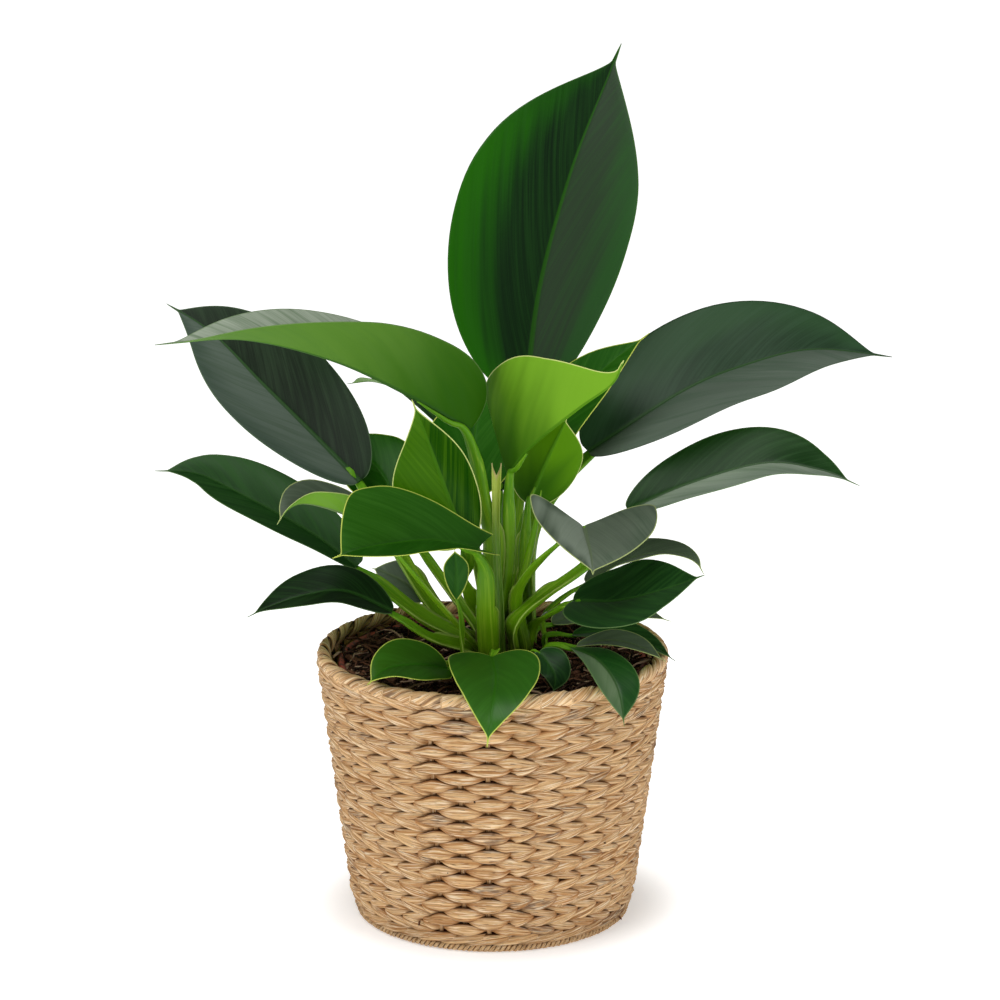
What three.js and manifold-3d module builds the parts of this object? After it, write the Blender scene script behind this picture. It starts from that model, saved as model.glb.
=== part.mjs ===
// Green princess philodendron in a woven basket: a nursery pot of bark soil stands in the
// basket, and every leaf with its stalk grows from one short crown or from the soil beside it.
// Millimetres, +Z up. The origin lies on the ground under the middle of the basket, and the
// front of the plant faces -Y.
import * as THREE from 'three';
import { mergeVertices } from 'three/addons/utils/BufferGeometryUtils.js';
import Module from 'manifold-3d';

const wasm = await Module();
wasm.setup();

// Basket: the rim sets the scale, and the wall tapers down to the foot
const rimRadius = 110;
const rimTop = 171;
const rimWidth = 8.8;
const rimHeight = 12;
const rimStrands = 36;
const footRadius = 87.5;
const footBraidWidth = 6.4;
const footBraidHeight = 8;
const footStrands = 32;
const wallTopRadius = 108.8;  // where a strand stands out furthest
const wallFootRadius = 88.2;
const wallThickness = 8.8;
const floorThickness = 5;
const stakes = 36;            // upright stakes that the strands weave round
const weaveRows = 27;
const strandRise = 3;         // from where a strand passes behind a stake to where it passes in front
const braidSwell = 0.14;      // share by which a braid is thicker along its strands
const seatGap = 0.3;          // between pieces that touch

// Nursery pot and soil inside the basket
const potTopRadius = 96;
const potFootRadius = 78;
const potTop = 163;
const potLip = 8;
const potWall = 1.6;
const potDrains = 6;
const potSides = 40;
const soilTop = 156;
const soilMound = 4;          // the soil rises towards the crown
const soilRoughness = 1.3;

// Crown: the short stem that the stalks spring from
const crown = new THREE.Vector3(3, -2, 182);
const crownRadius = 14;
const crownRoot = 110;
const crownRingRadius = 9.5;  // where stalks stand on its top
const crownSeatHeight = 166;  // where stalks start beside it
const crownLift = 9;          // a stalk rises this far before it bends away
const crownLean = 1.2;        // and leans out by this much

// Leaves
const bladeThickness = 0.8;
const bladeSteps = 9;         // along the midrib of a large leaf
const smallBladeSteps = 6;
const smallLeafWidth = 27;    // half widths below this are small
const bladeColumns = 2;       // from midrib to edge
const stalkSides = 6;
const stalkSteps = 7;
const smallStalkSteps = 6;
const stalkFoot = 10;         // length of a soil stalk below the surface
const baseWidth = 0.12;       // blade width where the stalk joins, as a share of the widest
const baseRounding = 0.65;    // below 1 the blade widens at once, above 1 slowly
const lobeReach = 1.5;
const lobeFade = 2.5;         // how fast the lobes die out along the blade
const lobeSweep = 1.3;        // how sharply they bend back towards the edge
const tipRounding = 1.25;     // how long the blade stays wide before it tapers
const endCrowding = 0.046;    // how much closer the rows lie at base and tip

// Finishes
const strandStraw = { color: 0xc9a06b, roughness: 0.8, metalness: 0 };
const strandBrown = { color: 0xb98f5c, roughness: 0.85, metalness: 0 };
const terracotta = { color: 0x7a4632, roughness: 0.6, metalness: 0 };
const barkSoil = { color: 0x33231b, roughness: 0.95, metalness: 0 };
const stalkGreen = { color: 0x6f9c2c, roughness: 0.4, metalness: 0 };
const sheathPale = { color: 0xa9b56a, roughness: 0.5, metalness: 0 };
const leafFinishes = {
  dark: { color: 0x1d4a28, roughness: 0.36, metalness: 0 },
  mid: { color: 0x2f6e2a, roughness: 0.38, metalness: 0 },
  fresh: { color: 0x6fa01c, roughness: 0.4, metalness: 0 },
  grey: { color: 0x5f7560, roughness: 0.34, metalness: 0 },
};

// Each leaf: where its stalk starts (beside the crown or on top of it, turned by degrees from
// +X, or in the soil), the points its stalk and its midrib pass through, half its width, where
// along it is widest, how sharply it tapers, how far the base lobes reach back, the share of
// width on its left and right, the way its upper side faces, and how far each half is folded
// up and curled, in degrees, at base left, base right, tip left and tip right. Some leaves
// have a base width, rounding and lobe fade of their own.
const leaves = [
  {
    name: 'leaf_tall', finish: 'dark', root: { on: 'side', turn: 78 }, stalkRadius: [5, 4],
    stalk: [[12, 30, 218]],
    blade: [[21, 55, 318], [30, 72, 385], [50, 90, 456], [73, 108, 512], [81, 116, 531]],
    halfWidth: 57, widest: 0.46, taper: 1.15, lobe: 8, sides: [1.12, 0.93],
    face: [-0.1, -1, 0.2], faceTip: [-0.1, -1, 0.35],
    fold: [8, 22, 4, 14], curl: [8, 8, 4, 4],
  },
  {
    name: 'leaf_arch_left', finish: 'dark', root: { on: 'top', turn: 224 }, stalkRadius: [4.5, 4.5],
    stalk: [[0, -14, 240], [-6, -16, 270]],
    blade: [[-14, -24, 314], [-46, -40, 337], [-93, -62, 365], [-146, -84, 383], [-196, -104, 384]],
    halfWidth: 44, widest: 0.28, taper: 1.1, lobe: 22, sides: [0.95, 0.85],
    face: [0.1, 0.25, 1], faceTip: [0, -0.1, 1],
    fold: [70, 66, 12, 26], curl: [20, 10, 6, 6],
  },
  {
    name: 'leaf_spout', finish: 'fresh', root: { on: 'top', turn: 281 }, stalkRadius: [4, 4],
    stalk: [[10, -9, 229]],
    blade: [[10, -16, 283], [24, -34, 306], [52, -60, 336], [71, -78, 355], [77, -92, 372]],
    halfWidth: 56, widest: 0.16, taper: 1.4, lobe: 6, sides: [0.75, 1],
    face: [0.05, 0.33, 1], faceTip: [-0.2, 0.3, 1],
    fold: [80, 78, 60, 50], curl: [20, 16, 30, 20],
  },
  {
    name: 'leaf_bright', finish: 'fresh', root: { on: 'top', turn: 0, ring: 0 }, stalkRadius: [4, 3.5],
    stalk: [[17, 1, 213]],
    blade: [[22, 0, 262], [34, -3, 292], [46, -8, 319]],
    halfWidth: 27, widest: 0.45, taper: 1.15, lobe: 8, sides: [1, 1],
    face: [0.2, 1, 0.2], faceTip: [0.2, 1, 0.4],
    fold: [35, 35, 25, 25], curl: [15, 15, 10, 10],
  },
  {
    name: 'leaf_behind_right', finish: 'mid', root: { on: 'top', turn: 48 }, stalkRadius: [3.2, 3],
    stalk: [[13, 17, 214]],
    blade: [[23, 24, 258], [38, 28, 302], [65, 30, 336], [97, 31, 363]],
    halfWidth: 25, widest: 0.42, taper: 1.15, lobe: 8, sides: [1, 1],
    face: [-0.4, -0.6, 0.7],
    fold: [15, 25, 5, 5], curl: [0, 0, 0, 0],
  },
  {
    name: 'leaf_big_right', finish: 'dark', root: { on: 'side', turn: 32 }, stalkRadius: [5.5, 5],
    stalk: [[22, 12, 232], [34, 20, 260]],
    blade: [[60, 36, 286], [118, 54, 320], [158, 64, 335], [201, 70, 344], [252, 72, 339]],
    halfWidth: 46, widest: 0.45, taper: 1.15, lobe: 10, sides: [1.05, 1],
    face: [-0.35, -0.6, 0.8], faceTip: [0, -0.55, 0.85],
    fold: [14, 18, 8, 18], curl: [10, 4, 8, 4],
  },
  {
    name: 'leaf_low_right', finish: 'dark', root: { on: 'side', turn: 302 }, stalkRadius: [4, 3.5],
    stalk: [[13, -26, 193], [32, -15, 208], [61, 0, 226]],
    blade: [[84, 14, 254], [122, 14, 271], [168, 10, 285], [202, 4, 282], [226, -2, 274]],
    halfWidth: 31, widest: 0.5, taper: 1.1, lobe: 4, sides: [0.88, 0.95],
    face: [-0.2, -0.45, 0.9], faceTip: [0.3, -0.4, 0.9],
    fold: [22, 18, 18, 20], curl: [6, 4, 6, 4],
  },
  {
    name: 'leaf_far_left', finish: 'dark', root: { on: 'side', turn: 152 }, stalkRadius: [4.5, 4],
    stalk: [[-39, 26, 191]],
    blade: [[-84, 52, 263], [-114, 72, 289], [-147, 90, 318], [-179, 106, 347], [-209, 118, 364]],
    halfWidth: 40, widest: 0.46, taper: 1, lobe: 8, sides: [0.9, 1],
    face: [0.2, -0.8, 0.6], faceTip: [0, -0.75, 0.7],
    fold: [18, 12, 14, 8], curl: [4, 4, 4, 4],
  },
  {
    name: 'leaf_low_left', finish: 'dark', root: { on: 'side', turn: 180 }, stalkRadius: [4.3, 4],
    stalk: [[-43, 8, 187], [-70, 18, 206]],
    blade: [[-85, 24, 215], [-115, 34, 235], [-166, 44, 261], [-188, 46, 270], [-212, 44, 272]],
    halfWidth: 30, widest: 0.5, taper: 1.05, lobe: 3, sides: [0.85, 0.9],
    baseShare: 0.2,
    face: [0.3, -0.55, 0.75], faceTip: [0, -0.5, 0.85],
    fold: [28, 14, 20, 12], curl: [0, 0, 0, 0],
  },
  {
    name: 'leaf_small_curl', finish: 'grey', root: { on: 'side', turn: 227 }, stalkRadius: [3, 2.5],
    stalk: [[-32, -24, 204], [-61, -34, 243]],
    blade: [[-73, -38, 255], [-90, -44, 267], [-111, -54, 276], [-122, -62, 275], [-129, -66, 266]],
    halfWidth: 18, widest: 0.5, taper: 1.15, lobe: 4, sides: [1, 1],
    face: [0.2, 0.1, 1], faceTip: [-0.4, -0.2, 0.9],
    fold: [55, 60, 20, 30], curl: [10, 10, 10, 10],
  },
  {
    name: 'leaf_heart', finish: 'mid', root: { on: 'side', turn: 254, height: 164 }, stalkRadius: [5.5, 5],
    stalk: [[-4, -34, 204], [-4, -38, 228]],
    blade: [[-8, -41, 244], [-34, -66, 256], [-56, -90, 261], [-77, -112, 263], [-93, -124, 261]],
    halfWidth: 37, widest: 0.68, taper: 0.9, lobe: 60, sides: [0.8, 1],
    baseShare: 0.3, rising: 1.25, lobeEase: 14,
    face: [-0.1, -0.2, 1],
    fold: [-4, 56, 4, 46], curl: [8, 16, 4, 10],
  },
  {
    name: 'leaf_fresh', finish: 'fresh', root: { on: 'top', turn: 164 }, stalkRadius: [4, 4],
    stalk: [[-14, -9, 207]],
    blade: [[-16, -24, 243], [-25, -30, 269], [-36, -38, 303], [-43, -46, 325], [-48, -50, 339]],
    halfWidth: 30, widest: 0.4, taper: 1.35, lobe: 6, sides: [1.13, 0.7],
    face: [-0.1, -0.9, 0.4], faceTip: [0, -0.8, 0.6],
    fold: [14, 26, 8, 14], curl: [10, 10, 6, 6],
  },
  {
    name: 'leaf_grey_heart', finish: 'grey', root: { on: 'side', turn: 330 }, stalkRadius: [4, 3.5],
    stalk: [[15, -16, 206], [24, -27, 228], [40, -41, 248]],
    blade: [[55, -46, 260], [57, -62, 255], [59, -76, 249], [60, -88, 241]],
    halfWidth: 42, widest: 0.24, taper: 1.15, lobe: 18, sides: [1.08, 0.92],
    face: [0, -0.35, 0.9], faceTip: [0.1, -0.6, 0.6],
    fold: [9, 36, 8, 22], curl: [0, 0, 0, 0],
  },
  {
    name: 'leaf_green_right', finish: 'dark', root: { on: 'side', turn: 357 }, stalkRadius: [3.8, 3.2],
    stalk: [[28, -11, 190]],
    blade: [[49, -36, 210], [76, -54, 215], [106, -68, 227], [127, -78, 238]],
    halfWidth: 29, widest: 0.4, taper: 1.15, lobe: 10, sides: [1, 1],
    face: [0.1, -0.5, 0.8],
    fold: [10, 12, 5, 5], curl: [0, 0, 0, 0],
  },
  {
    name: 'leaf_back_right', finish: 'grey', root: { on: 'soil', x: 33, y: 24 }, stalkRadius: [2.6, 2.4],
    stalk: [[33, 24, 185]],
    blade: [[58, 24, 205], [83, 20, 220], [107, 14, 227], [124, 4, 226], [131, -4, 218]],
    halfWidth: 17, widest: 0.4, taper: 1.15, lobe: 4, sides: [1, 1],
    face: [0.2, -0.2, 1],
    fold: [20, 20, 10, 10], curl: [0, 0, 0, 0],
  },
  {
    name: 'leaf_back_low', finish: 'grey', root: { on: 'soil', x: 26, y: 38 }, stalkRadius: [2.4, 2],
    stalk: [[29, 42, 170]],
    blade: [[38, 46, 172], [62, 54, 177], [91, 58, 176], [114, 60, 169]],
    halfWidth: 13, widest: 0.4, taper: 1.15, lobe: 4, sides: [1, 1],
    face: [0.1, -0.4, 1],
    fold: [15, 15, 10, 10], curl: [0, 0, 0, 0],
  },
  {
    name: 'leaf_rim_right_1', finish: 'dark', root: { on: 'soil', x: 34, y: -4 }, stalkRadius: [2.2, 2],
    stalk: [[33, 0, 177]],
    blade: [[50, 0, 178], [74, -8, 182], [96, -16, 177], [113, -24, 168]],
    halfWidth: 12, widest: 0.45, taper: 1.15, lobe: 2, sides: [1, 1],
    face: [0.1, -0.3, 1], faceTip: [0.4, -0.3, 0.8],
    fold: [15, 15, 10, 10], curl: [0, 0, 0, 0],
  },
  {
    name: 'leaf_rim_right_2', finish: 'grey', root: { on: 'soil', x: 30, y: -16 }, stalkRadius: [2.2, 2],
    stalk: [[34, -20, 177]],
    blade: [[52, -24, 178], [73, -34, 184], [91, -42, 182], [106, -48, 175]],
    halfWidth: 11, widest: 0.45, taper: 1.15, lobe: 2, sides: [1, 1],
    face: [0.1, -0.3, 1], faceTip: [0.4, -0.3, 0.8],
    fold: [15, 15, 10, 10], curl: [0, 0, 0, 0],
  },
  {
    name: 'leaf_droop_right', finish: 'dark', root: { on: 'soil', x: 27, y: -29 }, stalkRadius: [2.4, 2.2],
    stalk: [[34, -36, 181]],
    blade: [[48, -46, 183], [64, -70, 182], [75, -92, 172], [79, -106, 152]],
    halfWidth: 20, widest: 0.6, taper: 1.15, lobe: 4, sides: [0.74, 0.72],
    baseShare: 0.05, rising: 1.1,
    face: [0.3, -0.5, 0.8], faceTip: [0.4, -0.9, 0.2],
    fold: [18, 14, 14, 10], curl: [0, 0, 0, 0],
  },
  {
    name: 'leaf_front_heart', finish: 'mid', root: { on: 'soil', x: -3, y: -34 }, stalkRadius: [2.6, 2.4],
    stalk: [[2, -44, 181]],
    blade: [[0, -54, 180], [2, -84, 177], [1, -108, 172], [-1, -121, 161], [-3, -125, 145]],
    halfWidth: 28, widest: 0.36, taper: 1.35, lobe: 12, sides: [0.98, 1.05],
    face: [0, -0.6, 0.8], faceTip: [0, -1, 0.25],
    fold: [10, 14, 12, 12], curl: [4, 4, 4, 4],
  },
  {
    name: 'leaf_front_left', finish: 'mid', root: { on: 'soil', x: -28, y: -31 }, stalkRadius: [2.4, 2.2],
    stalk: [[-20, -43, 174]],
    blade: [[-27, -54, 172], [-45, -68, 179], [-63, -80, 180], [-75, -90, 173]],
    halfWidth: 19, widest: 0.45, taper: 1.15, lobe: 5, sides: [1, 1],
    face: [-0.1, -0.5, 0.8], faceTip: [-0.3, -0.5, 0.7],
    fold: [10, 20, 8, 16], curl: [0, 0, 0, 0],
  },
  {
    name: 'leaf_left_low', finish: 'dark', root: { on: 'side', turn: 205, height: 163 }, stalkRadius: [3.2, 3],
    stalk: [[-39, -14, 181]],
    blade: [[-62, -8, 195], [-91, -8, 208], [-116, -10, 206], [-137, -14, 200], [-151, -20, 195]],
    halfWidth: 24, widest: 0.45, taper: 1.15, lobe: 3, sides: [0.75, 0.82],
    face: [0, -0.45, 0.85], faceTip: [-0.4, -0.4, 0.8],
    fold: [20, 12, 16, 10], curl: [0, 0, 0, 0],
  },
  {
    name: 'leaf_small_dark', finish: 'dark', root: { on: 'soil', x: 16, y: -40 }, stalkRadius: [2, 1.8],
    stalk: [[23, -48, 181]],
    blade: [[28, -54, 183], [34, -61, 178], [38, -66, 171], [37, -69, 161]],
    halfWidth: 12, widest: 0.4, taper: 1.15, lobe: 3, sides: [1, 0.8],
    face: [0.2, -0.6, 0.7], faceTip: [0.2, -0.9, 0.2],
    fold: [10, 20, 8, 12], curl: [0, 0, 0, 0],
  },
  {
    name: 'leaf_back_mid', finish: 'mid', root: { on: 'side', turn: 127 }, stalkRadius: [3, 2.8],
    stalk: [[-27, 38, 196]],
    blade: [[-58, 62, 235], [-69, 80, 258], [-84, 96, 271], [-100, 112, 279]],
    halfWidth: 26, widest: 0.45, taper: 1.15, lobe: 3, sides: [1, 1],
    face: [0.2, -0.8, 0.6],
    fold: [12, 12, 8, 8], curl: [0, 0, 0, 0],
  },
  {
    name: 'leaf_back_thin', finish: 'dark', root: { on: 'side', turn: 106 }, stalkRadius: [3, 2.6],
    stalk: [[-14, 40, 234]],
    blade: [[-30, 64, 293], [-52, 84, 311], [-75, 104, 316], [-94, 120, 311]],
    halfWidth: 18, widest: 0.45, taper: 1.15, lobe: 2, sides: [1, 1],
    face: [0, 0.2, 1],
    fold: [20, 20, 10, 10], curl: [0, 0, 0, 0],
  },
  {
    name: 'leaf_back_centre', finish: 'mid', root: { on: 'top', turn: 100 }, stalkRadius: [3.4, 3],
    stalk: [[2, 26, 219]],
    blade: [[-8, 34, 259], [-12, 42, 279], [-10, 50, 303], [-5, 56, 324]],
    halfWidth: 30, widest: 0.45, taper: 1.15, lobe: 4, sides: [1, 1],
    face: [0, -0.9, 0.4],
    fold: [12, 12, 8, 8], curl: [0, 0, 0, 0],
  },
  {
    name: 'leaf_back_straight', finish: 'dark', root: { on: 'soil', x: 2, y: 38 }, stalkRadius: [3.4, 3],
    stalk: [[3, 44, 214]],
    blade: [[5, 58, 256], [7, 88, 271], [10, 120, 272], [14, 148, 260]],
    halfWidth: 24, widest: 0.45, taper: 1.15, lobe: 6, sides: [1, 1],
    face: [0, -0.4, 1], faceTip: [0, 0.5, 1],
    fold: [14, 14, 8, 8], curl: [0, 0, 0, 0],
  },
  {
    name: 'leaf_back_left', finish: 'grey', root: { on: 'soil', x: -22, y: 20 }, stalkRadius: [2.2, 2],
    stalk: [[-27, 26, 180]],
    blade: [[-43, 36, 190], [-55, 44, 199], [-68, 50, 204], [-77, 54, 206]],
    halfWidth: 13, widest: 0.45, taper: 1.15, lobe: 3, sides: [1, 1],
    face: [0, -0.8, 0.6],
    fold: [12, 12, 8, 8], curl: [0, 0, 0, 0],
  },
  {
    name: 'leaf_small_oval', finish: 'mid', root: { on: 'soil', x: -18, y: -27 }, stalkRadius: [2, 2],
    stalk: [[-19, -28, 196]],
    blade: [[-22, -29, 209], [-22, -29, 226], [-23, -29, 241]],
    halfWidth: 8, widest: 0.6, taper: 1.15, lobe: 2, sides: [1, 1],
    rising: 1,
    face: [0, -1, 0.3],
    fold: [12, 12, 8, 8], curl: [0, 0, 0, 0],
  },
];

const part = new THREE.Group();

function addPiece(name, geometry, finish) {
  const piece = new THREE.Mesh(geometry, new THREE.MeshStandardMaterial(finish));
  piece.name = name;
  part.add(piece);
}

// Closed geometry from corner points and triangles
function closedGeometry(points, triangles) {
  const geometry = new THREE.BufferGeometry();
  const places = points.flatMap((p) => p.toArray());
  geometry.setAttribute('position', new THREE.Float32BufferAttribute(places, 3));
  geometry.setIndex(triangles.flat());
  return geometry;
}

function toSolid(geometry) {
  const bare = geometry.clone();
  bare.deleteAttribute('normal');
  bare.deleteAttribute('uv');
  const merged = mergeVertices(bare, 1e-4);
  return new wasm.Manifold(new wasm.Mesh({
    numProp: 3,
    vertProperties: new Float32Array(merged.getAttribute('position').array),
    triVerts: new Uint32Array(merged.index.array),
  }));
}

function toGeometry(solid) {
  const mesh = solid.getMesh();
  const geometry = new THREE.BufferGeometry();
  geometry.setAttribute('position', new THREE.Float32BufferAttribute(mesh.vertProperties, 3));
  geometry.setIndex(Array.from(mesh.triVerts));
  return geometry;
}

// Lathe with its axis upright; shift(angle, radius, height) moves each corner outwards
function turned(profile, segments, shift) {
  const lathe = new THREE.LatheGeometry(profile.map(([r, z]) => new THREE.Vector2(r, z)), segments);
  const place = lathe.getAttribute('position');
  for (let i = 0; i < place.count; i += 1) {
    const segment = Math.floor(i / profile.length) % segments;
    const [radius, height] = profile[i % profile.length];
    const angle = (segment / segments) * Math.PI * 2;
    const grown = shift ? shift(angle, radius, height, i % profile.length) : { radius, height };
    place.setXYZ(i, grown.radius * Math.cos(angle), grown.radius * Math.sin(angle), grown.height);
  }
  lathe.deleteAttribute('normal');
  lathe.deleteAttribute('uv');
  const merged = mergeVertices(lathe, 1e-4);
  const corners = merged.index.array;
  const kept = [];
  for (let i = 0; i < corners.length; i += 3) {
    const [a, b, c] = [corners[i], corners[i + 1], corners[i + 2]];
    if (a !== b && b !== c && a !== c) kept.push(a, b, c);
  }
  merged.setIndex(kept);
  return merged;
}

function upright(radius, bottom, top, segments, x = 0, y = 0) {
  const geometry = new THREE.CylinderGeometry(radius, radius, top - bottom, segments);
  geometry.rotateX(Math.PI / 2);
  geometry.translate(x, y, (bottom + top) / 2);
  return geometry;
}

// Woven wall: on every row the strands stand out in front of every second stake, the next row
// in front of the others, and its foot is drawn in to leave room for the braid round it
function basketWall() {
  const wallFoot = footBraidHeight + seatGap * 2;
  const wallTop = rimTop - rimHeight - seatGap;
  const innerFoot = footRadius - footBraidWidth - seatGap;
  const rowHeight = (wallTop - wallFoot) / weaveRows;
  const profile = [[0, 0], [innerFoot, 0], [innerFoot, wallFoot]];
  const rows = [null, null, null];
  for (let row = 0; row < weaveRows; row += 1) {
    const share = (row + 0.5) / weaveRows;
    const radius = THREE.MathUtils.lerp(wallFootRadius, wallTopRadius, share) - strandRise;
    profile.push([radius, wallFoot + rowHeight * (row + 0.5)]);
    rows.push(row);
  }
  profile.push([wallTopRadius - strandRise, wallTop]);
  profile.push([wallTopRadius - wallThickness, wallTop]);
  profile.push([wallFootRadius - wallThickness, floorThickness], [0, floorThickness]);
  return turned(profile, stakes, (angle, radius, height, index) => {
    const row = rows[index] ?? null;
    if (row === null) return { radius, height };
    const stake = Math.round((angle / (2 * Math.PI)) * stakes);
    return { radius: radius + ((row + stake) % 2 ? strandRise : 0), height };
  });
}

// A braid laid round the top or the foot: a ring, upright on its outer side, whose surface
// swells along slanted strands
function braid(outerRadius, bottom, width, height, strands) {
  const sides = 6;
  const across = width / 2 / (1 + braidSwell) / Math.cos(Math.PI / sides);
  const tall = height / 2 / (1 + braidSwell);
  const ring = outerRadius - width / 2;
  const middle = bottom + height / 2;
  const turnAt = (i) => ((i + 0.5) / sides) * Math.PI * 2;
  const profile = [];
  for (let i = 0; i <= sides; i += 1) {
    profile.push([ring + across * Math.cos(turnAt(i)), middle + tall * Math.sin(turnAt(i))]);
  }
  return turned(profile, strands * 3, (angle, radius, level, index) => {
    const turn = turnAt(index);
    const lift = 1 + braidSwell * Math.cos(angle * strands - turn);
    return {
      radius: ring + across * lift * Math.cos(turn),
      height: middle + tall * lift * Math.sin(turn),
    };
  });
}

// Inner radius of the nursery pot at a height
function potInside(height) {
  const bottom = floorThickness + seatGap + potWall;
  const share = (height - bottom) / (potTop - bottom);
  return THREE.MathUtils.lerp(potFootRadius, potTopRadius - 2, share) - potWall;
}

function nurseryPot() {
  const bottom = floorThickness + seatGap;
  const shell = turned([
    [0, bottom], [potFootRadius, bottom], [potInside(potTop - potLip) + potWall, potTop - potLip],
    [potTopRadius, potTop - potLip], [potTopRadius, potTop], [potInside(potTop), potTop],
    [potInside(bottom + potWall), bottom + potWall], [0, bottom + potWall],
  ], potSides);
  let pot = toSolid(shell);
  for (let i = 0; i < potDrains; i += 1) {
    const turn = (i / potDrains) * Math.PI * 2;
    const [x, y] = [0.65 * potFootRadius * Math.cos(turn), 0.65 * potFootRadius * Math.sin(turn)];
    pot = pot.subtract(toSolid(upright(5, bottom - 2, bottom + potWall + 2, 8, x, y)));
  }
  return toGeometry(pot);
}

// Bark soil with a rough top that rises to the crown, and plain holes for what grows in it
function soil() {
  const bottom = floorThickness + potWall + seatGap * 2;
  const edge = potInside(soilTop) - seatGap * 2;
  const rings = 6;
  const profile = [[0, bottom], [potInside(bottom) - seatGap * 2, bottom], [edge, soilTop]];
  for (let i = 1; i <= rings; i += 1) profile.push([edge * (1 - i / rings), soilTop]);
  const ground = turned(profile, potSides, (angle, radius, height, index) => {
    if (index < 3) return { radius, height };
    const share = radius / edge;
    const mound = soilMound * (1 - share * share);
    const rough = Math.sin(angle * 7 + radius * 0.31) + Math.sin(angle * 11 - radius * 0.47);
    return { radius, height: soilTop + mound + (share > 0.01 ? rough * soilRoughness : 0) };
  });
  let bed = toSolid(ground);
  const socket = upright(crownRadius + seatGap, crownRoot - seatGap, 200, 24, crown.x, crown.y);
  bed = bed.subtract(toSolid(socket));
  for (const leaf of leaves) {
    if (leaf.root.on !== 'soil') continue;
    const bore = leaf.stalkRadius[0] + seatGap * 3;
    const depth = soilTop - stalkFoot;
    bed = bed.subtract(toSolid(upright(bore, depth - seatGap, 200, 12, leaf.root.x, leaf.root.y)));
  }
  return toGeometry(bed);
}

function crownStem() {
  return turned([
    [0, crownRoot], [crownRadius * 0.5, crownRoot], [crownRadius, crownRoot + 12],
    [crownRadius, crown.z - 2], [crownRadius - 2, crown.z], [0, crown.z],
  ], 24).translate(crown.x, crown.y, 0);
}

// First points of a stalk: it lifts straight off its seat before it bends away
function stalkStart(leaf) {
  const radius = leaf.stalkRadius[0];
  if (leaf.root.on === 'soil') {
    const foot = new THREE.Vector3(leaf.root.x, leaf.root.y, soilTop - stalkFoot);
    return [foot, foot.clone().add(new THREE.Vector3(0, 0, stalkFoot + crownLift))];
  }
  const turn = THREE.MathUtils.degToRad(leaf.root.turn);
  const away = new THREE.Vector3(Math.cos(turn), Math.sin(turn), 0);
  const beside = leaf.root.on === 'side';
  const reach = beside ? crownRadius + radius + seatGap + 0.1 : (leaf.root.ring ?? crownRingRadius);
  const seat = beside ? (leaf.root.height ?? crownSeatHeight) : crown.z + seatGap;
  const foot = new THREE.Vector3(crown.x, crown.y, seat);
  foot.addScaledVector(away, reach);
  const lean = beside ? crownLean : 0;
  return [foot, foot.clone().add(new THREE.Vector3(0, 0, crownLift)).addScaledVector(away, lean)];
}

// Closed tube through the points, tapering from one radius to the next
function stalk(points, radii, steps, sides) {
  const curve = new THREE.CatmullRomCurve3(points, false, 'catmullrom', 0.5);
  const frames = curve.computeFrenetFrames(steps, false);
  const corners = [];
  for (let i = 0; i <= steps; i += 1) {
    const along = i / steps;
    const centre = curve.getPointAt(along);
    const scaled = along * (radii.length - 1);
    const k = Math.min(Math.floor(scaled), radii.length - 2);
    const radius = THREE.MathUtils.lerp(radii[k], radii[k + 1], scaled - k);
    for (let j = 0; j < sides; j += 1) {
      const turn = (j / sides) * Math.PI * 2;
      corners.push(centre.clone()
        .addScaledVector(frames.normals[i], radius * Math.cos(turn))
        .addScaledVector(frames.binormals[i], radius * Math.sin(turn)));
    }
  }
  const triangles = [];
  for (let i = 0; i < steps; i += 1) {
    for (let j = 0; j < sides; j += 1) {
      const next = (j + 1) % sides;
      const [a, b] = [i * sides + j, i * sides + next];
      triangles.push([a, b, b + sides], [a, b + sides, a + sides]);
    }
  }
  const last = steps * sides;
  for (let j = 1; j < sides - 1; j += 1) {
    triangles.push([0, j + 1, j], [last, last + j, last + j + 1]);
  }
  return closedGeometry(corners, triangles);
}

// Half width along the blade: rounded at the base, widest once, then tapering to the tip
function widthShare(u, leaf) {
  if (u < leaf.widest) {
    const base = leaf.baseShare ?? baseWidth;
    const rounding = leaf.rising ?? baseRounding;
    return base + (1 - base) * Math.sin((Math.PI / 2) * (u / leaf.widest)) ** rounding;
  }
  const past = (u - leaf.widest) / (1 - leaf.widest);
  return Math.max(0, Math.cos((Math.PI / 2) * past ** tipRounding)) ** leaf.taper;
}

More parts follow.
